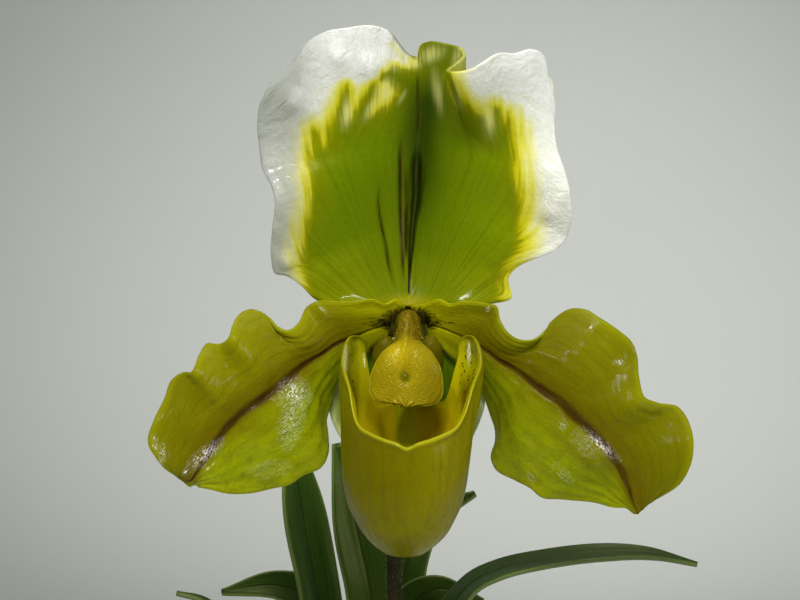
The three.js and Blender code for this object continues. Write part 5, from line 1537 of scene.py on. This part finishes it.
def bark_mix():
    r = np.random.default_rng(4139)
    spots = []
    for k in range(CAD_CHIPS):
        far = (inside(MIX_TOP) - 10.5) * math.sqrt((k + 0.5) / CAD_CHIPS)
        angle = k * math.pi * (3 - math.sqrt(5))
        spots.append((far * math.cos(angle), far * math.sin(angle), MIX_TOP + r.uniform(-0.8, 0.6),
                      r.uniform(11, 16), r.uniform(8, 11.5), r.uniform(3.4, 5.2)))
    for _ in range(SMALL_CHIPS):
        far, angle = (inside(MIX_TOP) - 4.0) * math.sqrt(r.random()), r.uniform(0, ROUND)
        size = r.uniform(3, 8)
        spots.append((far * math.cos(angle), far * math.sin(angle), MIX_TOP + r.uniform(-1.0, 1.2),
                      size, size * r.uniform(0.5, 0.85), size * r.uniform(0.3, 0.5)))
    parts, tones = [], []
    for x, y, z, a, b, c in spots:
        clear = max(a, b) / 2 * 0.8
        if any(((x - at[0]) / (radii[0] + clear)) ** 2 + ((y - at[1]) / (radii[1] + clear)) ** 2 < 1
               for _, at, radii in CROWNS):
            continue
        piece = chip(r, (x, y, z), (a, b, c), r.uniform(0, math.pi), r.uniform(-0.3, 0.3, 2))
        far = np.hypot(piece[0][:, 0], piece[0][:, 1])
        limit = inside(np.clip(piece[0][:, 2], 0, POT["height"])) - 0.4
        piece[0][:, :2] *= np.minimum(1, limit / np.maximum(far, 1e-6))[:, None]
        parts.append(piece)
        tones.append(np.full(len(piece[0]), r.uniform(0.1, 1.0)))
    # the fill below: a rough lid, down to the pot's floor
    lid = [(0.01, 82.4), (10, 82.4), (20, 82.2), (30, 82.2), (40, 82.0), (inside(82) - 0.3, 81.6),
             (inside(60) - 0.3, 60), (inside(30) - 0.3, 30), (inside(4.3) - 0.3, 4.3), (20, 4.3), (0.01, 4.3)]
    a = turns(LID_SIDES)
    points = np.concatenate([np.stack([d * np.cos(a), d * np.sin(a), a * 0 + z], -1) for d, z in lid])
    top = 5 * LID_SIDES
    points[:top, 2] += 0.7 * ripple(points[:top, 0] * 0.4, points[:top, 1] * 0.4, 9, 8, 0.8, 2.2)
    parts.append((points, [ring_faces(len(lid), LID_SIDES, True)]))
    tones.append(np.full(len(points), 0.12))
    points, faces = joined(parts)
    add_mesh("bark_mix_fine", points, faces, bark_skin(), {"tone": np.concatenate(tones)}, shift=0,
             replaces=["bark_mix"])


bark_mix()


def clay_skin():
    s = Skin("clay", Specular_IOR_Level=0.2)
    world = s.world()
    level = s.field("level")
    cloud = s.noise(world, (26, 26, 34), 5, 0.6)
    s.colour = s.ramp(cloud, [(0.28, (150, 84, 54)), (0.45, (170, 98, 64)), (0.58, (182, 110, 74)),
                              (0.74, (196, 128, 92))])
    throwing = s.noise(world, (14, 14, 520), 3, 0.55)
    s.paint(s.ease(throwing, 0.42, 0.66, 0, 0.3), (140, 76, 48))
    # mineral bloom, strongest under the band and at the foot
    bloom = s.noise(world, (60, 60, 44), 6, 0.68)
    where = s.ramp(level, [(0, (150, 150, 150)), (12, (70, 70, 70)), (50, (60, 60, 60)),
                           (76, (150, 150, 150)), (80, (90, 90, 90)), (95, (120, 120, 120))])
    bloom = s.ease(bloom, 0.47, 0.68, 0, 1) * where
    s.paint(s.math("MULTIPLY", bloom, 1.25, clamp=True), (216, 196, 178))
    specks = s.noise(world, (1100, 1100, 1100), 2, 0.6)
    s.paint(s.ease(specks, 0.64, 0.74, 0, 0.5), (96, 54, 38))
    grain = s.noise(world, (2200, 2200, 2200), 4, 0.7)
    s.set("Roughness", s.remap(grain, 0.3, 0.7, 0.72, 0.92))
    s.relief((throwing, 0.35, 0.5), (grain, 0.4, 0.18), (specks, 0.25, 0.3))
    return s.done()


def clay_pot():
    height, rim, foot, wall = POT["height"], POT["rim"], POT["foot"], POT["wall"]
    band = height - POT["band"]
    section = [[0.01, 0], [12, 0], [foot - 4, 0], [foot - 1.5, 0], [foot - 0.5, 0.4], [foot, 1.5]]
    section += [[inside(z) + wall, z] for z in np.linspace(3, band - 0.4, 40)]
    section += [[inside(band) + wall, band], [rim - 0.8, band + 0.6], [rim - 0.2, band + 1.1],
                [rim, band + 1.8]]
    section += [[rim, z] for z in np.linspace(band + 3, height - 2.2, 8)]
    section += [[rim, height - 1.5], [rim - 0.4, height - 0.5], [rim - 1.5, height],
                [inside(height) + 1.2, height],
                [inside(height) + 0.35, height - 0.4], [inside(height), height - 1.2]]
    section += [[inside(z), z] for z in np.linspace(height - 3, wall + 1, 30)]
    section += [[inside(wall) - 0.8, wall], [12, wall], [0.01, wall]]
    section = np.array(section, float)
    a = turns(144)
    low, high = section[:, 1:] < 2.0, section[:, 1:] > height - 0.2
    wobble = 0.12 * ripple(np.cos(a)[None] * 2, section[:, 1:] * 0.08 + np.sin(a)[None], 61, 6, 0.8, 2.4)
    wobble = wobble * (section[:, :1] > 20) * ~low * ~high - 0.12 * ((section[:, :1] >= rim - 0.3) & ~low)
    radius = section[:, :1] + wobble
    points = np.stack([radius * np.cos(a), radius * np.sin(a), np.repeat(section[:, 1:], 144, 1)], -1)
    k = rings(len(section), 144)[0]
    faces = [ring_faces(len(section), 144), k[:1, ::-1], k[-1:]]
    pot = add_mesh("pot_fine", points.reshape(-1, 3), faces, clay_skin(),
                   {"level": np.repeat(section[:, 1], 144)}, shift=0, replaces=["pot"])
    # the drain holes are cut and the cutters removed
    for turn in (30, 150, 270):
        bpy.ops.mesh.primitive_cylinder_add(vertices=48, radius=POT["hole"] * MM, depth=0.03, location=(
            POT["holes_at"] * MM * math.cos(math.radians(turn)),
            POT["holes_at"] * MM * math.sin(math.radians(turn)), 0))
        cutter = bpy.context.object
        cut = pot.modifiers.new("hole", "BOOLEAN")
        cut.operation, cut.object, cut.solver = "DIFFERENCE", cutter, "EXACT"
        bpy.context.view_layer.objects.active = pot
        bpy.ops.object.modifier_apply(modifier=cut.name)
        bpy.data.objects.remove(cutter)
    edges = pot.modifiers.new("edges", "EDGE_SPLIT")
    edges.split_angle = math.radians(50)


clay_pot()


# ---------------------------------------------------------------- stage, light and camera
def plain_skin(name, rgb, low, high, scale):
    s = Skin(name, Roughness=0.9, Specular_IOR_Level=0.2)
    cloud = s.noise(s.world(), (scale,) * 3)
    s.colour = s.mix(s.remap(cloud, 0.3, 0.7, low, high), (0, 0, 0), rgb)
    return s.done()


def backdrop():
    """A round floor that curves up into a wall all the way round."""
    radius, bend, height = 2.45, 0.6, 3.2
    arc = np.linspace(0, np.pi / 2, 14)
    section = [[r, 0.0] for r in (0.0001, 0.4, 0.9, 1.4)]
    section += [[radius - bend + bend * math.sin(a), bend - bend * math.cos(a)] for a in arc]
    section += [[radius, 1.5], [radius, height]]
    section = np.array(section)
    a = turns(96)
    points = np.stack([section[:, None, 0] * np.cos(a), section[:, None, 0] * np.sin(a),
                       np.repeat(section[:, 1:], 96, 1)], -1).reshape(-1, 3)
    grey = plain_skin("backdrop_grey", (224, 227, 222), 0.965, 1.0, 1.4)
    new_object("backdrop", points, [ring_faces(len(section), 96)], grey)


def light(name, kind, at, target, power, **settings):
    data = bpy.data.lights.new(name, kind)
    data.energy = power
    for key, value in settings.items():
        setattr(data, key, value)
    obj = bpy.data.objects.new(name, data)
    bpy.context.scene.collection.objects.link(obj)
    obj.location = at
    obj.rotation_euler = (Vector(target) - Vector(at)).to_track_quat("-Z", "Y").to_euler()


def lamp(name, at, size, power, tint=(1, 1, 1)):
    light(name, "AREA", at, CENTRE, power, shape="RECTANGLE", size=size[0], size_y=size[1], color=tint)


CENTRE = (0.0, -0.03, 0.29)
CAMERA_AT = (0.0, -0.585, 0.29)
LENS = 123.75                      # mm
backdrop()
lamp("key", (-0.04, -0.85, 0.97), (0.34, 0.26), 8.2, (1.0, 0.985, 0.96))
lamp("glint", (-0.4, -0.74, 0.98), (0.07, 0.07), 3.0, (1.0, 0.99, 0.97))
lamp("side", (0.95, -0.5, 0.55), (0.30, 0.42), 3.0, (0.98, 0.99, 1.0))
lamp("top", (0.1, 0.1, 1.2), (0.7, 0.5), 4.0)
# a round pool of light on the wall, soft all the way to its middle
light("wash", "SPOT", (0.5, 0.7, 1.15), (0.06, 2.45, 0.15), 70.0, spot_size=0.78, spot_blend=1.0,
      shadow_soft_size=0.2)

world = bpy.data.worlds.new("soft_grey")
bpy.context.scene.world = world
world.use_nodes = True
sky = world.node_tree.nodes["Background"]
sky.inputs["Color"].default_value = (0.92, 0.94, 0.96, 1)
sky.inputs["Strength"].default_value = 0.17

scene = bpy.context.scene
scene.view_settings.view_transform = "Standard"
camera_data = bpy.data.cameras.new("camera")
camera_data.sensor_width = 36.0
camera_data.lens = LENS
camera_data.clip_start = 0.01
camera = bpy.data.objects.new("camera", camera_data)
scene.collection.objects.link(camera)
camera.location = CAMERA_AT
camera.rotation_euler = (math.pi / 2, 0, 0)
scene.camera = camera
